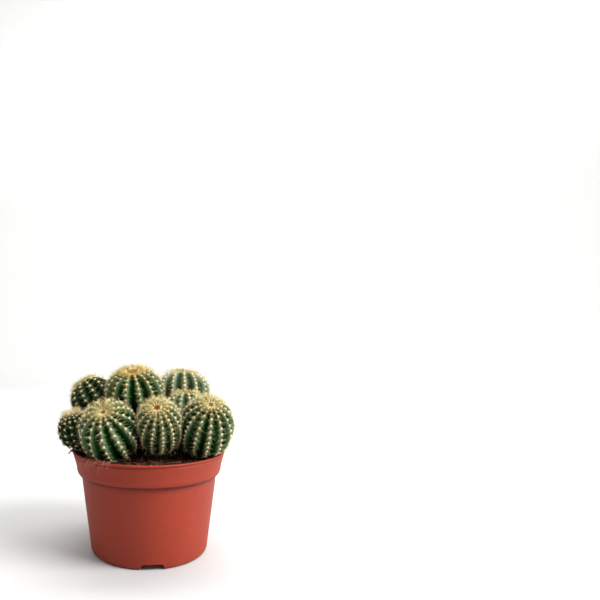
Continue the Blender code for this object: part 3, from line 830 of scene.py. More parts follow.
class Paint:
    """A Principled material and the nodes that lead to it."""

    def __init__(self, name, roughness, specular=0.5, sheen=0.0):
        self.material = bpy.data.materials.new(name)
        self.material.use_nodes = True
        self.tree = self.material.node_tree
        self.shader = self.tree.nodes["Principled BSDF"]
        self.shader.inputs["Roughness"].default_value = roughness
        self.shader.inputs["Specular IOR Level"].default_value = specular
        self.shader.inputs["Sheen Weight"].default_value = sheen
        self.coordinates = self.tree.nodes.new("ShaderNodeTexCoord").outputs["Object"]

    def feed(self, socket, value):
        """Sets an input to a number, a colour or another node's output."""
        if isinstance(value, bpy.types.NodeSocket):
            self.tree.links.new(value, socket)
        elif hasattr(value, "__len__") and len(value) == 3 and socket.type == "RGBA":
            socket.default_value = (*value, 1.0)
        else:
            socket.default_value = value

    def node(self, kind, inputs, **settings):
        """Adds a shader node, and sets its inputs and its own settings."""
        made = self.tree.nodes.new("ShaderNode" + kind)
        for key, value in settings.items():
            setattr(made, key, value)
        for key, value in inputs.items():
            self.feed(made.inputs[key], value)
        return made

    def scaled(self, scale):
        """Object coordinates, stretched."""
        return self.node("Mapping", {"Vector": self.coordinates, "Scale": scale}).outputs["Vector"]

    def noise(self, scale, detail=3.0, roughness=0.55, vector=None):
        inputs = {"Scale": scale, "Detail": detail, "Roughness": roughness}
        return self.node("TexNoise", {"Vector": vector or self.coordinates, **inputs}).outputs["Fac"]

    def attribute(self, name):
        return self.node("Attribute", {}, attribute_name=name).outputs["Fac"]

    def ramp(self, value, low, high, start=0.0, end=1.0):
        """The value's range from low to high, stretched to start to end and clamped."""
        inputs = {"Value": value, "From Min": low, "From Max": high, "To Min": start, "To Max": end}
        return self.node("MapRange", inputs).outputs["Result"]

    def math(self, operation, first, second):
        made = self.node("Math", {}, operation=operation)
        self.feed(made.inputs[0], first)
        self.feed(made.inputs[1], second)
        return made.outputs[0]

    def times(self, first, second):
        return self.math("MULTIPLY", first, second)

    def mix(self, factor, first, second):
        """The first colour, turned into the second by a factor from 0 to 1."""
        made = self.node("Mix", {}, data_type="RGBA")
        self.feed(made.inputs[0], factor)
        self.feed(made.inputs[6], first)
        self.feed(made.inputs[7], second)
        return made.outputs[2]

    def over(self, under, colour, value, low, high, start=0.0, end=1.0):
        """A colour laid over what is under it, as the value goes from low to high."""
        return self.mix(self.ramp(value, low, high, start, end), under, colour)

    def dots(self, scale, edge, chosen):
        """Round dots in some cells of a cell texture: edge and chosen hold a ramp's low and high."""
        cells = self.node("TexVoronoi", {"Vector": self.coordinates, "Scale": scale})
        dot = self.ramp(cells.outputs["Distance"], *edge)
        return self.times(dot, self.ramp(cells.outputs["Color"], *chosen))

    def base(self, value):
        self.feed(self.shader.inputs["Base Color"], value)

    def rough(self, value):
        self.feed(self.shader.inputs["Roughness"], value)

    def bump(self, height, strength, distance):
        made = self.node("Bump", {"Height": height, "Strength": strength, "Distance": distance})
        self.feed(self.shader.inputs["Normal"], made.outputs["Normal"])


def pot_paint(pot):
    """Matt moulded plastic: a fine grain, soft cloudiness, dark specks, a few pale scuffs, and a painted
    shadow under the collar.
    """
    paint = Paint("moulded pot plastic", 0.5, 0.27)
    clouds = paint.noise(26.0, 4.0)
    grain = paint.noise(1500.0, 2.0)
    tone = paint.over(shaded(pot.paint, 0.93), shaded(pot.paint, 1.06), clouds, 0.3, 0.7)
    tone = paint.over(tone, shaded(pot.paint, 0.8), grain, 0.35, 0.65, 0.0, 0.35)
    streaks = paint.noise(42.0, 5.0, 0.6, paint.scaled((1.0, 1.0, 4.5)))
    where = paint.noise(17.0, 1.0, 0.5)
    scuffs = paint.times(paint.ramp(streaks, 0.64, 0.74), paint.ramp(where, 0.5, 0.6))
    tone = paint.mix(paint.times(scuffs, 0.5), tone, pot.scuff)
    tone = paint.mix(paint.times(paint.dots(420.0, (0.16, 0.08), (0.7, 0.75)), 0.4), tone, pot.scuff)
    tone = paint.mix(paint.times(paint.dots(150.0, (0.085, 0.05), (0.72, 0.76)), 0.85), tone, pot.speck)
    # A painted shadow under the collar: a band just below the step darkens towards the shade colour
    height = paint.node("SeparateXYZ", {"Vector": paint.coordinates}).outputs["Z"]
    step = pot.height - pot.collar_height
    under = paint.ramp(height, step - 4 * MM, step + 0.6 * MM)
    under = paint.times(under, paint.ramp(height, step + 2.5 * MM, step + 1.2 * MM))
    paint.base(paint.mix(paint.math("POWER", under, 2.6), tone, pot.shade))
    paint.rough(paint.ramp(clouds, 0.3, 0.7, 0.54, 0.64))
    paint.bump(grain, 0.25, 0.06 * MM)
    return paint.material


def soil_paint(soil):
    """Peat: dark and damp with brown crumbs, each grain in its own tone."""
    paint = Paint("peaty compost", 0.95, 0.1)
    tone = paint.attribute("tone")
    crumbs = paint.noise(900.0, 4.0, 0.6)
    mixed = paint.over(soil.dark, soil.brown, crumbs, 0.42, 0.66)
    mixed = paint.over(mixed, soil.brown, tone, 0.15, 0.75, 0.0, 0.85)
    paint.base(paint.over(mixed, soil.tan, tone, 0.86, 0.98, 0.0, 0.9))
    paint.bump(crumbs, 0.8, 0.4 * MM)
    return paint.material


def flesh_paint(flesh):
    """Waxy skin: valleys partly in painted shade, green flanks, a mottled grey-green bloom, painted shade
    and light over whole heads, and a dark brown trunk.
    """
    paint = Paint("cactus skin", 0.55, 0.05)
    valley = paint.attribute("valley")
    age = paint.attribute("age")
    clouds = paint.noise(150.0, 3.0, 0.6)
    pores = paint.noise(2600.0, 2.0, 0.5)
    wax_and_light = paint.attribute("bloom")
    # The valleys turn near black: partly the skin's deeper green, partly painted shade in the creases
    # between the ribs
    tone = paint.over(flesh.green, flesh.deep_green_and_shade, valley, 0.3, 0.85)
    # Heads with a low bloom value are darkened all over towards the deep green: painted shade on heads that
    # lie in shade
    tone = paint.over(tone, flesh.deep_green_and_shade, wax_and_light, 0.9, 0.2)
    # Heads with a bloom value over 1 are paled all over with the bloom colour: painted light on heads that
    # lie in light
    tone = paint.over(tone, flesh.bloom, wax_and_light, 1.0, 2.0, 0.0, 0.12)
    near_crest = paint.math("POWER", paint.ramp(valley, 0.56, 0.1), 1.3)
    mottled = paint.times(near_crest, paint.ramp(clouds, 0.32, 0.68, 0.45, 1.0))
    # The crest bloom grows with the head's bloom value, so it carries the same painted light and shade
    young_bloom_and_light = paint.times(paint.ramp(age, 0.85, 0.1, 0.5, 1.0), wax_and_light)
    bloom = paint.times(mottled, young_bloom_and_light)
    tone = paint.mix(bloom, tone, flesh.bloom)
    tone = paint.over(tone, flesh.bloom, pores, 0.58, 0.78, 0.0, 0.12)
    # The trunk under the globe turns dark brown
    paint.base(paint.mix(paint.attribute("foot"), tone, flesh.dark_trunk))
    paint.rough(paint.ramp(bloom, 0.0, 1.0, 0.42, 0.62))
    paint.bump(paint.math("ADD", pores, clouds), 0.35, 0.15 * MM)
    return paint.material


def spine_paint(spines):
    """Horn-like spines: golden when new, straw when grown, brown at the plant's foot."""
    paint = Paint("straw spines", 0.42, 0.5)
    age = paint.attribute("age")
    tone = paint.attribute("tone")
    along = paint.attribute("along")
    grown = paint.mix(paint.attribute("gold"), spines.grown, spines.young)
    worn = paint.math("ADD", paint.ramp(age, 0.8, 1.0, 0.0, 0.8), paint.ramp(tone, 0.85, 1.0, 0.0, 0.2))
    mixed = paint.mix(worn, grown, spines.old)
    mixed = paint.over(mixed, spines.pale, tone, 0.0, 0.45, 0.3, 0.0)
    ends = paint.times(paint.ramp(along, 0.45, 0.7), paint.attribute("central"))
    paint.base(paint.mix(ends, mixed, spines.tip))
    return paint.material


def wool_paint(spines):
    """Felted areole wool, cream with a warm shade, greyer with age."""
    paint = Paint("areole wool", 1.0, 0.15, sheen=0.2)
    age = paint.attribute("age")
    tone = paint.attribute("tone")
    fuzz = paint.noise(2400.0, 3.0)
    mixed = paint.over(shaded(spines.wool, 0.88), spines.wool, fuzz, 0.35, 0.65)
    mixed = paint.over(mixed, spines.golden, paint.attribute("gold"), 0.2, 1.2, 0.0, 0.8)
    mixed = paint.over(mixed, spines.grey, age, 0.65, 1.0, 0.0, 0.75)
    paint.base(paint.over(mixed, spines.warm, tone, 0.6, 1.0, 0.0, 0.3))
    paint.bump(fuzz, 0.6, 0.2 * MM)
    return paint.material


def crown_paint(crown):
    """Crown wool: ochre in the middle, cream tufts and golden bristles round it, and a red tuft."""
    paint = Paint("crown wool", 0.95, 0.15, sheen=0.2)
    out = paint.attribute("out")
    tone = paint.attribute("tone")
    blush = paint.attribute("blush")
    fuzz = paint.noise(1800.0, 3.0)
    blotch = paint.noise(520.0, 1.0)
    pale = paint.over(crown.cream, crown.gold, tone, 0.1, 0.9)
    pale = paint.over(pale, crown.cream, fuzz, 0.35, 0.7, 0.0, 0.4)
    pale = paint.over(pale, crown.warm, blotch, 0.56, 0.68, 0.0, 0.4)
    pale = paint.mix(blush, pale, crown.blush)
    mixed = paint.over(crown.ochre, pale, out, 0.9, 1.2)
    paint.base(paint.mix(paint.attribute("red"), mixed, crown.crimson))
    paint.bump(fuzz, 0.7, 0.3 * MM)
    return paint.material


# The pot

def arc(middle, radius, start, end, steps):
    """Points on an arc between two angles in degrees; radius may be one for each way."""
    across, upward = radius if isinstance(radius, tuple) else (radius, radius)
    turns = [math.radians(start + (end - start) * k / steps) for k in range(steps + 1)]
    return [(middle[0] + across * math.cos(t), middle[1] + upward * math.sin(t)) for t in turns]


def pot_outline(pot):
    """The pot's section, from the middle of its underside out, up, over the lip and down inside."""
    step = pot.height - pot.collar_height
    bead = pot.height - pot.lip_height
    ring = pot.foot_radius - pot.foot_width
    floor = pot.floor_rise + pot.wall
    ease = 0.5 * MM
    pad = 0.2 * MM
    ring_ease = 0.4 * MM
    groove = 0.45 * MM
    ledge = 1.0 * MM
    ledge_width = 0.6 * MM
    flare = 0.6 * MM
    flare_height = 6 * MM
    inset = 0.9 * MM
    inner_corner = 1.5 * MM
    points = [(0.0, pad), (pot.pad_radius - ease, pad), (pot.pad_radius, ease)]
    points += [(pot.pad_radius + ease, pot.floor_rise), (ring - ease, pot.floor_rise)]
    points += arc((ring + ring_ease, ring_ease), ring_ease, 180, 270, 3)
    side = pot.body_foot - pot.foot_radius
    points += arc((pot.foot_radius, pot.corner), (side, pot.corner), -90, 0, 8)
    points += [(pot.body_top - flare, step - flare_height), (pot.body_top, step)]
    points += [(pot.body_top, step + ledge), (pot.body_top + ledge_width, step + ledge)]
    rounding = (pot.collar_foot - pot.body_top - inset, pot.collar_rounding)
    points += arc((pot.body_top + inset, step + pot.collar_rounding), rounding, -98, 0, 10)
    points += [(pot.collar_top - 0.1 * MM, bead - 1.6 * MM), (pot.collar_top - groove, bead - 1.1 * MM)]
    points += [(pot.collar_top - groove, bead - 0.3 * MM)]
    half = pot.lip_height / 2
    points += arc((pot.lip_radius - half, pot.height - half), half, -80, 90, 8)
    inside = pot.collar_top - pot.wall
    points += arc((inside + ease, pot.height - ease), ease, 90, 180, 3)
    points += [(pot.collar_foot - pot.wall, step + pot.collar_rounding)]
    points += [(pot.body_top - pot.wall, step + pot.wall)]
    corner = (pot.body_foot - pot.wall - inner_corner, floor + inner_corner)
    points += arc(corner, inner_corner, 0, -90, 4)
    points.append((0.0, floor))
    return points


def spun(name, outline, sides, merge=0.02 * MM, inside=False):
    """A body turned about the Z axis from an outline of (radius, height) points."""
    mesh = bpy.data.meshes.new(name)
    edges = [(k, k + 1) for k in range(len(outline) - 1)]
    mesh.from_pydata([(radius, 0.0, height) for radius, height in outline], edges, [])
    item = linked(name, mesh)
    make_active(item)
    edit_all()
    bpy.ops.mesh.spin(steps=sides, angle=math.tau, center=(0, 0, 0), axis=(0, 0, 1))
    bpy.ops.mesh.select_all(action="SELECT")
    bpy.ops.mesh.remove_doubles(threshold=merge)
    bpy.ops.mesh.normals_make_consistent(inside=inside)
    object_mode()
    return item


def notch_cutter(pot, turn):
    """A wedge with eased edges, wider at the ground, that goes through the foot ring."""
    depth = 12 * MM
    below = 2 * MM
    deselect_all()
    bpy.ops.mesh.primitive_cube_add(size=1.0, location=(0.0, 0.0, 0.0))
    item = bpy.context.active_object
    places = places_of(item.data)
    top = places[:, 2] > 0
    half = np.where(top, pot.notch_width / 2 - pot.notch_taper, pot.notch_width / 2 + pot.notch_taper)
    places[:, 0] = np.sign(places[:, 0]) * half
    places[:, 1] *= depth
    places[:, 2] = np.where(top, pot.notch_height, -below)
    set_places(item.data, places)
    apply_modifier(item, "BEVEL", width=0.7 * MM, segments=3)
    item.rotation_euler = (0.0, 0.0, turn - math.pi / 2)
    item.location = (pot.foot_radius * math.cos(turn), pot.foot_radius * math.sin(turn), 0.0)
    return item


def drain_cutter(pot, turn):
    """A rod that goes through the floor."""
    deselect_all()
    across, back = pot.drain_circle * math.cos(turn), pot.drain_circle * math.sin(turn)
    place = (across, back, pot.floor_rise + pot.wall / 2)
    bpy.ops.mesh.primitive_cylinder_add(vertices=28, radius=pot.drain_radius, depth=6 * MM, location=place)
    return bpy.context.active_object


class CACTUS_OT_pot(bpy.types.Operator):
    """Turn the pot with its lip, collar and foot, and cut its drainage"""

    bl_idname = "cactus.pot"
    bl_label = "Nursery Pot"

    def execute(self, context):
        pot = context.scene.potted_cactus.pot
        item = spun("nursery_pot", pot_outline(pot), pot.sides)
        cutters = [notch_cutter(pot, NOTCH_FIRST + math.tau * k / pot.notches) for k in range(pot.notches)]
        cutters += [drain_cutter(pot, math.tau * (k + 0.5) / pot.drains) for k in range(pot.drains)]
        for cutter in cutters:
            apply_modifier(item, "BOOLEAN", operation="DIFFERENCE", solver="EXACT", object=cutter)
            remove(cutter)
        smooth(item, math.radians(32))
        finish_piece(item, "nursery_pot", pot_paint(pot), ("pot",))
        return {"FINISHED"}


# The soil

def wall_inside(pot, height):
    """The pot's inner radius at a height in its collar."""
    foot = pot.height - pot.collar_height + pot.collar_rounding
    rise = (height - foot) / (pot.height - foot)
    return pot.collar_foot - pot.wall + (pot.collar_top - pot.collar_foot) * rise


def soil_top(x, y, soil):
    """The height of the soil's rough top at a place."""
    slow = noise.noise(Vector((x * 60, y * 60, 3.0)))
    fast = noise.noise(Vector((x * 320, y * 320, 7.0)))
    return soil.level + soil.relief * (0.8 * slow + 0.55 * fast)


def soil_outline(pot, soil):
    """The soil's section, from the middle of the pot's floor out, up the wall and back in on top."""
    gap = 0.3 * MM
    corner = 1.7 * MM
    rings = 44
    step = pot.height - pot.collar_height
    floor = pot.floor_rise + pot.wall + gap
    top = wall_inside(pot, soil.level) - gap
    points = [(0.0, floor), (pot.body_foot - pot.wall - corner - gap, floor)]
    points += [(pot.body_foot - pot.wall - gap, floor + corner)]
    points += [(pot.body_top - pot.wall - gap, step + pot.wall + gap)]
    points += [(pot.collar_foot - pot.wall - gap, step + pot.collar_rounding + gap), (top, soil.level)]
    return points + [(top * (1 - k / rings), soil.level) for k in range(1, rings + 1)]


def spread_places(total, reach, margin, source):
    """Random level places within a reach of the pot's axis, and a margin away from the stems."""
    turns = source.uniform(0, math.tau, total * 2)
    spread = reach * np.sqrt(source.uniform(0, 1, total * 2))
    places = headings(turns) * spread[:, None]
    free = np.ones(len(places), bool)
    for head in HEADS:
        root = np.array(head.root) * MM
        free &= reach_of(places[:, :2] - root) > head.stem_radius * MM + margin
    return places[free][:total]


def soil_grains(pot, soil, source):
    """Loose crumbs and chips over the soil's top."""
    places = spread_places(soil.grains, wall_inside(pot, soil.level) - 1.4 * MM, -1.0 * MM, source)
    total = len(places)
    sizes = soil.grain_size * np.exp(source.normal(0, 0.42, total)) * 0.5
    places[:, 2] = [soil_top(x, y, soil) for x, y, _ in places]
    places[:, 2] += sizes * source.uniform(-0.2, 0.6, total)
    shape = ball_shape(1, 1.0)
    stretch = source.uniform(0.55, 1.35, (total, 3)) * sizes[:, None]
    frames = random_turns(source, total) * stretch[:, :, None]
    points, triangles = strew(shape, places, frames)
    per_grain = len(shape[0])
    points += source.normal(0, 0.09, points.shape) * np.repeat(sizes, per_grain)[:, None]
    return points, triangles, {"tone": np.repeat(source.uniform(0, 1, total) ** 1.6, per_grain)}


def soil_fibres(pot, soil, source):
    """Peat fibres that lie across the crumbs."""
    reach = wall_inside(pot, soil.level) - 5 * MM
    places = spread_places(soil.fibres, reach, 1.0 * MM, source)
    total = len(places)
    places[:, 2] = soil.level + source.uniform(0.4, 1.8, total) * MM
    turns = source.uniform(0, math.tau, total)
    ways = unit(headings(turns, source.normal(0, 0.12, total)))
    sizes = soil.fibre_length * source.uniform(0.25, 1.0, total)
    ends = reach_of(places + ways * sizes[:, None])
    sizes = np.where(ends > reach + 3 * MM, sizes * 0.3, sizes)
    bends = source.normal(0, 0.16, (total, 3)) * sizes[:, None]
    bends[:, 2] *= 0.35
    thicknesses = source.uniform(0.16, 0.42, total) * MM
    points, triangles = bent_strands(fibre_shape(), places, ways, sizes, thicknesses, bends)
    return points, triangles, {"tone": np.repeat(source.uniform(0.5, 1.0, total), len(points) // total)}


def lip_litter(pot, soil, source):
    """Shed spines that hang over the lip at the front left, and a shrivelled bit on the left."""
    total = soil.shed + soil.scraps
    scrap = np.arange(total) >= soil.shed
    start, width = 221, 23
    spread = start + width * (np.arange(total) + source.uniform(-0.7, 0.7, total)) / soil.shed
    out = headings(np.radians(np.where(scrap, source.uniform(184, 187, total), spread)))
    roots = out * source.uniform(57.0, 59.0, total)[:, None] * MM + UP * (pot.height + 1.1 * MM)
    ways = unit(out + source.normal(0, 0.3, (total, 3)) * np.array([1.0, 1.0, 0.3]))
    sizes = np.where(scrap, source.uniform(3.5, 5.0, total), source.uniform(3.0, 6.0, total)) * MM
    bends = source.normal(0, 0.12, (total, 3)) * sizes[:, None]
    bends -= UP * (sizes * source.uniform(0.5, 1.0, total))[:, None]
    thicknesses = np.where(scrap, 1.2, 0.26) * MM
    points, triangles = bent_strands(fibre_shape(), roots, ways, sizes, thicknesses, bends)
    return points, triangles, {"tone": np.repeat(np.where(scrap, 0.78, 1.0), len(points) // total)}


class CACTUS_OT_soil(bpy.types.Operator):
    """Fill the pot with compost, and strew crumbs and peat fibres over it"""

    bl_idname = "cactus.soil"
    bl_label = "Compost"

    def execute(self, context):
        settings = context.scene.potted_cactus
        pot, soil = settings.pot, settings.soil
        paint = soil_paint(soil)
        item = spun("compost", soil_outline(pot, soil), 120)
        places = places_of(item.data)
        wall = wall_inside(pot, soil.level)
        top = (places[:, 2] > soil.level - 0.1 * MM) & (reach_of(places) < wall - 0.6 * MM)
        places[top, 2] = [soil_top(x, y, soil) for x, y, _ in places[top]]
        set_places(item.data, places)
        add_looks(item, tone=0.0)
        smooth(item)
        finish_piece(item, "compost", paint, ("soil",))
        source = np.random.default_rng(21)
        for name, made in (
            ("compost_crumbs", soil_grains(pot, soil, source)),
            ("compost_fibres", soil_fibres(pot, soil, source)),
            ("lip_litter", lip_litter(pot, soil, source)),
        ):
            piece_from(name, made, paint, smoothed=False)
        return {"FINISHED"}


# The skin of the heads

def skin_object(skin):
    """A UV sphere whose rings are moved onto the rows of the head's skin."""
    rows, columns = skin.grid.shape[:2]
    deselect_all()
    bpy.ops.mesh.primitive_uv_sphere_add(segments=columns, ring_count=rows + 1, radius=1.0)
    item = bpy.context.active_object
    ball = places_of(item.data)
    row = np.rint(np.arccos(np.clip(ball[:, 2], -1, 1)) / math.pi * (rows + 1)).astype(int) - 1
    turn = np.arctan2(ball[:, 1], ball[:, 0])
    column = np.rint(turn / math.tau * columns).astype(int) % columns
    places = np.empty_like(ball)
    inside = (row >= 0) & (row < rows)
    places[inside] = skin.grid[row[inside], column[inside]]
    places[row < 0] = skin.grid[0].mean(axis=0)
    places[row >= rows] = skin.grid[-1].mean(axis=0)
    set_places(item.data, places)
    row = np.clip(row, 0, rows - 1)
    steps = np.linalg.norm(np.diff(skin.grid[:, 0], axis=0), axis=1)
    foot = np.clip((row - skin.joint_row + 3) / 8, 0.0, 0.92)
    age = (run_of(steps) / steps.sum())[row]
    # The head's bloom value goes to the material, where it lays painted shade and light over the whole head
    add_looks(item, valley=skin.phase[column], age=age, bloom=skin.head.bloom, foot=foot)
    return item


class CACTUS_OT_skin(bpy.types.Operator):
    """Model the ribbed skin of every head"""

    bl_idname = "cactus.skin"
    bl_label = "Ribbed Skin"

    def execute(self, context):
        settings = context.scene.potted_cactus
        paint = flesh_paint(settings.flesh)
        for skin in skins_of(settings):
            item = skin_object(skin)
            smooth(item)
            name = skin.head.name
            finish_piece(item, "skin_" + name, paint, ("head_" + name,))
        return {"FINISHED"}


# The areoles and spines

def may_stand(skin, roots, tips, settings):
    """Whether spines keep to their own head's room, over the soil and clear of the pot."""
    soil, pot = settings.soil, settings.pot
    least_room = 0.15 * MM
    over_soil = soil.level + 1.0 * MM
    over_lip = pot.height + 0.4 * MM
    before_wall = wall_inside(pot, soil.level) - 0.6 * MM
    past_lip = pot.lip_radius + 0.5 * MM
    good = np.ones(len(roots), bool)
    for part in (0.5, 1.0):
        points = roots + (tips - roots) * part
        reach, height = reach_of(points), points[:, 2]
        good &= room_at(skin.head, points, soil) > least_room
        good &= (height > over_soil) | (reach > past_lip)
        good &= (reach <= before_wall) | (reach >= past_lip) | (height >= over_lip)
    return good


def areole_wool(skin, settings, source):
    """The pads of wool on the crests, with short hairs."""
    spines = settings.spines
    total = len(skin.places)
    pad = ball_shape(2, 0.5)
    small_until, growing_over = 2 * MM, 6 * MM
    grown = np.clip((skin.arcs - small_until) / growing_over, 0, 1)
    size = source.uniform(0.88, 1.12, total) * (0.66 + 0.34 * grown)
    size *= min(1.0, 0.66 + 0.4 * skin.head.veil)
    frames = np.stack([
        skin.asides * (spines.areole_width * size)[:, None],
        skin.downs * (spines.areole_length * size)[:, None],
        -skin.outwards * (spines.areole_height * size)[:, None],
    ], axis=1)
    points, triangles = strew(pad, skin.places, frames)
    lumps = 0.045 * MM
    points += source.normal(0, lumps, points.shape)
    tone = source.uniform(0, 1, total)

    hair_lean, hair_root, hair_spread, hair_thickness = 0.8, 0.3 * MM, 0.36, 0.22 * MM
    which = np.repeat(np.arange(total), spines.areole_hairs)
    many = len(which)
    spread = source.uniform(-1, 1, (many, 2))
    aside, down = skin.asides[which] * spread[:, :1], skin.downs[which] * spread[:, 1:]
    outward = skin.outwards[which]
    ways = unit(outward * hair_lean + aside * 1.2 + down * 1.2)
    roots = skin.places[which] + outward * hair_root
    roots += aside * spines.areole_width * hair_spread + down * spines.areole_length * hair_spread
    sizes = source.uniform(0.6, 1.1, many) * MM
    hair = hair_shape()
    hairs = bent_strands(hair, roots, ways, sizes, np.full(many, hair_thickness), np.zeros((many, 3)))
    hair_tone = source.uniform(0, 1, many)
    per_pad, per_hair = len(pad[0]), len(hair[0])
    looks = {
        "tone": np.concatenate([np.repeat(tone, per_pad), np.repeat(hair_tone, per_hair)]),
        "age": np.concatenate([np.repeat(skin.ages, per_pad), np.repeat(skin.ages[which], per_hair)]),
        "gold": skin.head.gold,
    }
    return *merged([(points, triangles), hairs]), looks


def spine_fan(skin, settings, source):
    """Root, way, size, thickness and bend of each spine of a head, and its looks."""
    spines, head = settings.spines, skin.head
    total = len(skin.places)
    settled = spines.radials + spines.centrals
    per_areole = settled + spines.youngest
    which = np.repeat(np.arange(total), per_areole)
    order = np.tile(np.arange(per_areole), total)
    size = head.radius / 20
    young = np.clip(1.15 - skin.arcs[which] / (spines.young_reach * size), 0, 1)
    gold_reach = spines.gold_reach * size * (1 + 1.1 * head.gold) * min(1.0, 0.6 + 0.4 * head.veil)
    gold = np.clip(1.3 - skin.arcs[which] / gold_reach, 0, 1)
    few = (order % 2 == 1) & (source.uniform(0.0, 1.0, len(order)) > head.veil)
    stands = ((order < settled) & ~few) | (source.uniform(0.1, 0.9, len(order)) < gold)
    which, order, young, gold = which[stands], order[stands], young[stands], gold[stands]
    many = len(order)
    central = (order >= spines.radials) & (order < settled)
    age, arc_run = skin.ages[which], skin.arcs[which]
    down, aside, outward = skin.downs[which], skin.asides[which], skin.outwards[which]

    # The turn from straight down the rib: radial spines fan out on both sides, others go any way
    fan_start, fan_width = 34, 106
    hand = np.where(order % 2 == 0, 1.0, -1.0)
    rank = (order // 2 % 4 + source.uniform(0.0, 1.0, many)) / 4
    turn = hand * np.radians(fan_start + fan_width * rank)
    turn = np.where(central | (order >= settled), source.uniform(-math.pi, math.pi, many), turn)
    turn *= 1 - 0.25 * np.clip((age - 0.45) / 0.5, 0, 1)

    # The rise off the skin in degrees, steeper near the crown, and the droop of the oldest
    central_rise, radial_rise, young_rise = (30, 62), (8, 26), (32, 56)
    rise = np.where(central, source.uniform(*central_rise, many), source.uniform(*radial_rise, many))
    rise = np.radians(rise + young * source.uniform(*young_rise, many))
    flat = down * np.cos(turn)[:, None] + aside * np.sin(turn)[:, None]
    ways = outward * np.sin(rise)[:, None] + flat * np.cos(rise)[:, None]
    edge_width = 4.5 * MM
    edge = np.clip(1 - (arc_run - head.centre * MM) / edge_width, 0, 1)
    ways += down * (young * 0.4 + edge * 1.5)[:, None]
    ways -= UP * (np.clip(age - 0.5, 0, 0.5) * 0.5)[:, None]
    ways = unit(ways + source.normal(0, 0.08, ways.shape))

    # The length, the thickness, the root on the areole's wool and the bend
    root_spread, stray_bend, outward_bend = 0.25, 0.09, 0.1
    sizes = np.where(central, spines.central_length, spines.radial_length)
    sizes = sizes * source.uniform(0.68, 1.18, many) * (1 + 0.2 * young)
    thicknesses = spines.thickness * np.where(central, 1.15, 0.95) * source.uniform(0.85, 1.15, many)
    thicknesses *= 0.75 + 0.25 * head.veil
    roots = skin.places[which] + (
        aside * (np.sin(turn) * spines.areole_width * root_spread)[:, None]
        + down * (np.cos(turn) * spines.areole_length * root_spread)[:, None]
    )
    bends = source.normal(0, stray_bend, ways.shape) * sizes[:, None]
    bends -= outward * (sizes * outward_bend)[:, None]
    looks = {"age": age, "central": central, "gold": gold * (0.25 + 0.75 * head.gold)}
    return roots, ways, sizes, thicknesses, bends, looks


def spines_of(skin, settings, source):
    """A head's spines, shortened or left out where a neighbour takes the room."""
    roots, ways, sizes, thicknesses, bends, looks = spine_fan(skin, settings, source)
    fits = may_stand(skin, roots, roots + ways * sizes[:, None] + bends, settings)
    part = np.where(fits, 1.0, SHORTENED)
    sizes, bends = sizes * part, bends * part[:, None]
    keep = fits | may_stand(skin, roots, roots + ways * sizes[:, None] + bends, settings)
    spine = spine_shape()
    strands = roots, ways, sizes, thicknesses, bends
    points, triangles = bent_strands(spine, *(values[keep] for values in strands))
    looks = {name: values[keep] for name, values in looks.items()}
    looks["tone"] = source.uniform(0, 1, keep.sum())
    looks = {name: np.repeat(values, len(spine[0])) for name, values in looks.items()}
    looks["along"] = np.tile(spine[0][:, 2], keep.sum())
    return points, triangles, looks


class CACTUS_OT_spines(bpy.types.Operator):
    """Set the areoles' wool and spines down every rib"""

    bl_idname = "cactus.spines"
    bl_label = "Areoles and Spines"

    def execute(self, context):
        settings = context.scene.potted_cactus
        wool, straw = wool_paint(settings.spines), spine_paint(settings.spines)
        for order, skin in enumerate(skins_of(settings)):
            source = np.random.default_rng(100 + order)
            name = skin.head.name
            piece_from("areoles_" + name, areole_wool(skin, settings, source), wool)
            piece_from("spines_" + name, spines_of(skin, settings, source), straw)
        return {"FINISHED"}


# The crowns

def crown_place(skin, reach, turn, lift):
    """Places over the crown, from the distance to the tip's axis, the turn and the lift."""
    flat = skin.side[0] * np.cos(turn)[:, None] + skin.back[0] * np.sin(turn)[:, None]
    globe = skin.middles[:skin.joint_row]
    heights = (globe - globe[0]) @ skin.up[0]
    height = np.interp(reach, skin.radii[:skin.joint_row], heights) + lift
    return skin.middles[0] + skin.up[0] * height[:, None] + flat * reach[:, None], flat


def crown_cap(skin):
    """The young cushion in the hollow: a UV sphere laid over it, lumpy, with a dimple in its middle."""
    thick, dimple, lumps, sunk = 0.45, 0.3, 0.4, 0.5
    dimple_width = 0.3
    overlap = 0.4
    deselect_all()
    bpy.ops.mesh.primitive_uv_sphere_add(segments=36, ring_count=18, radius=1.0)
    item = bpy.context.active_object
    ball = places_of(item.data)
    polar = np.arccos(np.clip(ball[:, 2], -1, 1))
    turn = np.arctan2(ball[:, 1], ball[:, 0])
    upper = polar <= math.pi / 2
    out = np.where(upper, polar / (math.pi / 2), (math.pi - polar) / (math.pi / 2))
    width = (skin.head.centre + overlap) * MM
    rough = np.array([noise.noise(Vector(place) * 3.0) for place in ball])
    dome = thick - dimple * np.exp(-(out / dimple_width) ** 2) + lumps * rough
    dome = dome * np.sqrt(np.clip(1 - out**4, 0, 1))
    lift = np.where(upper, dome, -sunk * (1 - out**2)) * MM
    places, _ = crown_place(skin, out * width, turn, lift)
    set_places(item.data, places)
    triangles = triangles_of(item.data)
    remove(item)
    return (places, triangles), np.where(upper, out, 1.0) * width


def crown_tufts(skin, settings, source):
    """Tufts of pale wool in a ring round the cushion, how far out each point is, and its tone."""
    tufts = round(settings.crown.tufts * skin.head.centre / 2)
    ball = ball_shape(2, 0.5)
    turn = (np.arange(tufts) + source.uniform(-0.3, 0.3, tufts)) / tufts * math.tau
    reach = (skin.head.centre + source.uniform(0.1, 1.1, tufts)) * MM
    places, _ = crown_place(skin, reach, turn, np.full(tufts, 0.4 * MM))
    size = source.uniform(0.7, 1.15, tufts) * MM
    turns = random_turns(source, tufts)
    stretch = size[:, None] * source.uniform(0.8, 1.2, (tufts, 3))
    made = strew(ball, places, turns * stretch[:, :, None])
    tone = source.uniform(0, 1, tufts)
    per_tuft = len(ball[0])
    return made, np.repeat(reach, per_tuft), np.repeat(tone, per_tuft)


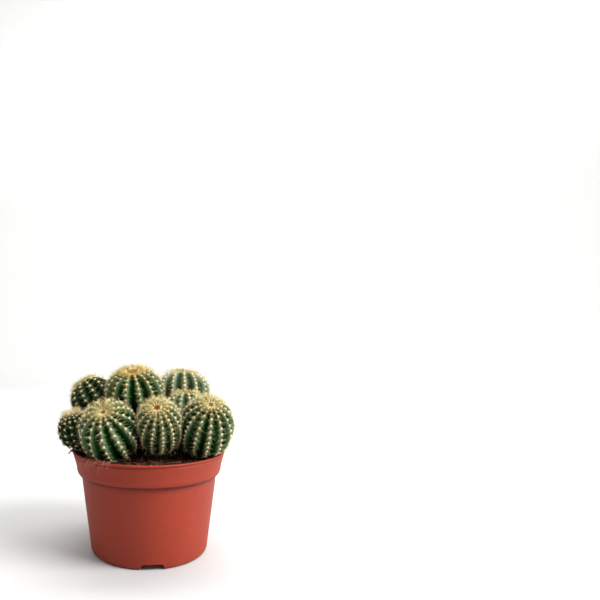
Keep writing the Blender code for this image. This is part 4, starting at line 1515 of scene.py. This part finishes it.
def crown_hairs(skin, settings, source):
    """Wool hairs, upright young bristles and the red tuft, how far out they stand, and their looks."""
    head, crown = skin.head, settings.crown
    wide = head.centre / 2
    hairs = round(crown.hairs * wide**1.8)
    bristles = round(crown.bristles * min(wide, 1.8) * (0.5 + 1.2 * head.gold))
    reds = round(crown.reds * head.tuft)
    total = hairs + bristles + reds
    kind = np.repeat([0, 1, 2], [hairs, bristles, reds])

    def by_kind(hair, bristle, red):
        return np.array([hair, bristle, red])[kind]

    share_out = np.sqrt(source.uniform(0.0, 1.0, total))
    low = by_kind(0.0, head.centre + 0.8, 0.0)
    high = by_kind(head.centre + 0.3, head.centre + 3.4, 0.7)
    reach = (low + (high - low) * share_out) * MM
    turn = source.uniform(0, math.tau, total)
    roots, flat = crown_place(skin, reach, turn, by_kind(0.5, 0.2, 0.4) * MM)
    lean = by_kind(0.6, 2.0, 0.3) * source.uniform(0.5, 1.3, total)
    stray = source.normal(0, 1, (total, 3)) * by_kind(0.4, 0.2, 0.3)[:, None]
    ways = unit(skin.up[0] + flat * lean[:, None] + stray)
    bristle_length = crown.bristle_length * (0.85 + 0.3 * head.gold)
    sizes = by_kind(crown.hair_length, bristle_length, crown.red_length)
    sizes = sizes * source.uniform(0.6, 1.15, total)
    thicknesses = by_kind(0.2, 0.24, 0.5) * MM
    bends = source.normal(0, 0.1, ways.shape) * sizes[:, None]
    good = room_at(head, roots + ways * sizes[:, None], settings.soil) > 0.1 * MM
    spine = spine_shape()
    strands = roots, ways, sizes, thicknesses, bends
    made = bent_strands(spine, *(values[good] for values in strands))
    tone = np.choose(kind, [source.uniform(0, 0.6, total), source.uniform(0.3, 1.0, total), np.zeros(total)])
    reach = np.where(kind == 1, np.maximum(reach, (head.centre + 1.5) * MM), reach)
    return made, *(np.repeat(values[good], len(spine[0])) for values in (reach, tone, kind == 2))


def crown_wool(skin, settings, source):
    """The whole crown of a head: cushion, tufts, hairs and bristles."""
    cap, cap_reach = crown_cap(skin)
    tufts, tuft_reach, tuft_tone = crown_tufts(skin, settings, source)
    strands, hair_reach, hair_tone, hair_red = crown_hairs(skin, settings, source)
    looks = {
        "out": np.concatenate([cap_reach, tuft_reach, hair_reach]) / (skin.head.centre * MM),
        "tone": np.concatenate([np.full(len(cap_reach), 0.4), tuft_tone, hair_tone]),
        "red": np.concatenate([np.zeros(len(cap_reach) + len(tuft_reach)), hair_red]),
        "blush": skin.head.blush,
    }
    return *merged([cap, tufts, strands]), looks


class CACTUS_OT_crowns(bpy.types.Operator):
    """Fill every head's top with young wool and bristles"""

    bl_idname = "cactus.crowns"
    bl_label = "Crowns"

    def execute(self, context):
        settings = context.scene.potted_cactus
        paint = crown_paint(settings.crown)
        for order, skin in enumerate(skins_of(settings)):
            made = crown_wool(skin, settings, np.random.default_rng(200 + order))
            name = skin.head.name
            piece_from("crown_wool_" + name, made, paint, ("crown_" + name,))
        return {"FINISHED"}


# The stage

def area_light(name, place, target, size, power):
    """A soft round light that is aimed at a target and that the camera doesn't see."""
    data = bpy.data.lights.new(name, "AREA")
    data.shape = "DISK"
    data.size = size
    data.energy = power
    item = linked(name, data)
    item.visible_camera = False
    way = Vector(target) - Vector(place)
    item.matrix_world = Matrix.Translation(place) @ way.to_track_quat("-Z", "Y").to_matrix().to_4x4()


def add_camera(stage):
    """The camera at the photograph's viewing angle, on a frame of 600 by 600 pixels."""
    frame_size = 600.0
    data = bpy.data.cameras.new("photograph_camera")
    data.sensor_width = 36.0
    data.lens = stage.focal_pixels / frame_size * data.sensor_width
    data.shift_x = stage.shift
    data.shift_y = (stage.horizon_row - frame_size / 2) / frame_size
    data.clip_start = 0.01
    data.clip_end = 20.0
    turn = math.atan((frame_size * (0.5 - stage.shift) - stage.axis_column) / stage.focal_pixels)
    camera = linked("photograph_camera", data)
    camera.location = (0.0, -stage.distance, stage.lens_height)
    camera.rotation_euler = (math.pi / 2, 0.0, -turn)
    bpy.context.scene.camera = camera


def add_floor(stage):
    """A pale floor that curves up into a wall all round, turned from one outline."""
    flat, bend, wall_top = 1.6, 0.9, 2.4
    outline = [(0.0, 0.0), (flat / 2, 0.0)] + arc((flat, bend), bend, -90, 0, 16)
    outline.append((flat + bend, wall_top))
    floor = spun("floor", outline, 96, merge=0.1 * MM, inside=True)
    smooth(floor)
    paint = Paint("pale floor", 0.9, 0.1)
    mottle = paint.noise(3.0, 2.0)
    paint.base(paint.mix(mottle, shaded(stage.floor, 0.985), stage.floor))
    floor.data.materials.append(paint.material)


def add_sky(stage):
    """An even white light from all round."""
    world = bpy.data.worlds.new("soft sky")
    world.use_nodes = True
    background = world.node_tree.nodes["Background"]
    background.inputs["Color"].default_value = (1.0, 1.0, 1.0, 1.0)
    background.inputs["Strength"].default_value = stage.sky
    bpy.context.scene.world = world


class CACTUS_OT_stage(bpy.types.Operator):
    """Set up the camera, the pale floor and the soft lights"""

    bl_idname = "cactus.stage"
    bl_label = "Stage"

    def execute(self, context):
        stage = context.scene.potted_cactus.stage
        add_camera(stage)
        add_floor(stage)
        add_sky(stage)
        target = (0.0, 0.0, 0.07)
        area_light("key_light", (0.86, -0.5, 1.0), target, 0.7, stage.key)
        area_light("side_light", (0.97, -0.26, 0.25), target, 0.5, stage.side)
        area_light("top_light", (0.0, 0.0, 2.2), target, 2.4, stage.top)
        area_light("wall_light", (0.3, 0.6, 2.0), (0.7, 2.5, 0.7), 2.0, stage.wash)
        context.scene.view_settings.view_transform = "Standard"
        return {"FINISHED"}


class CACTUS_PT_panel(bpy.types.Panel):
    """Lists the potted cactus's operators and settings"""

    bl_idname = "CACTUS_PT_panel"
    bl_label = "Potted Cactus"
    bl_space_type = "VIEW_3D"
    bl_region_type = "UI"
    bl_category = "Cactus"

    def draw(self, context):
        layout = self.layout
        settings = context.scene.potted_cactus
        for operator, group in zip(OPERATORS, ("pot", "soil", "flesh", "spines", "crown", "stage")):
            box = layout.box()
            box.operator(operator.bl_idname)
            values = getattr(settings, group)
            for name in type(values).__annotations__:
                box.prop(values, name)


OPERATORS = (
    CACTUS_OT_pot, CACTUS_OT_soil, CACTUS_OT_skin, CACTUS_OT_spines, CACTUS_OT_crowns, CACTUS_OT_stage,
)
CLASSES = (
    PotSettings, SoilSettings, FleshSettings, SpineSettings, CrownSettings, StageSettings,
    CactusSettings, *OPERATORS, CACTUS_PT_panel,
)


def register():
    for each in CLASSES:
        bpy.utils.register_class(each)
    bpy.types.Scene.potted_cactus = PointerProperty(type=CactusSettings)


def unregister():
    del bpy.types.Scene.potted_cactus
    for each in reversed(CLASSES):
        bpy.utils.unregister_class(each)


def main():
    register()
    bpy.ops.cactus.pot()
    bpy.ops.cactus.soil()
    bpy.ops.cactus.skin()
    bpy.ops.cactus.spines()
    bpy.ops.cactus.crowns()
    bpy.ops.cactus.stage()


if __name__ == "__main__":
    main()
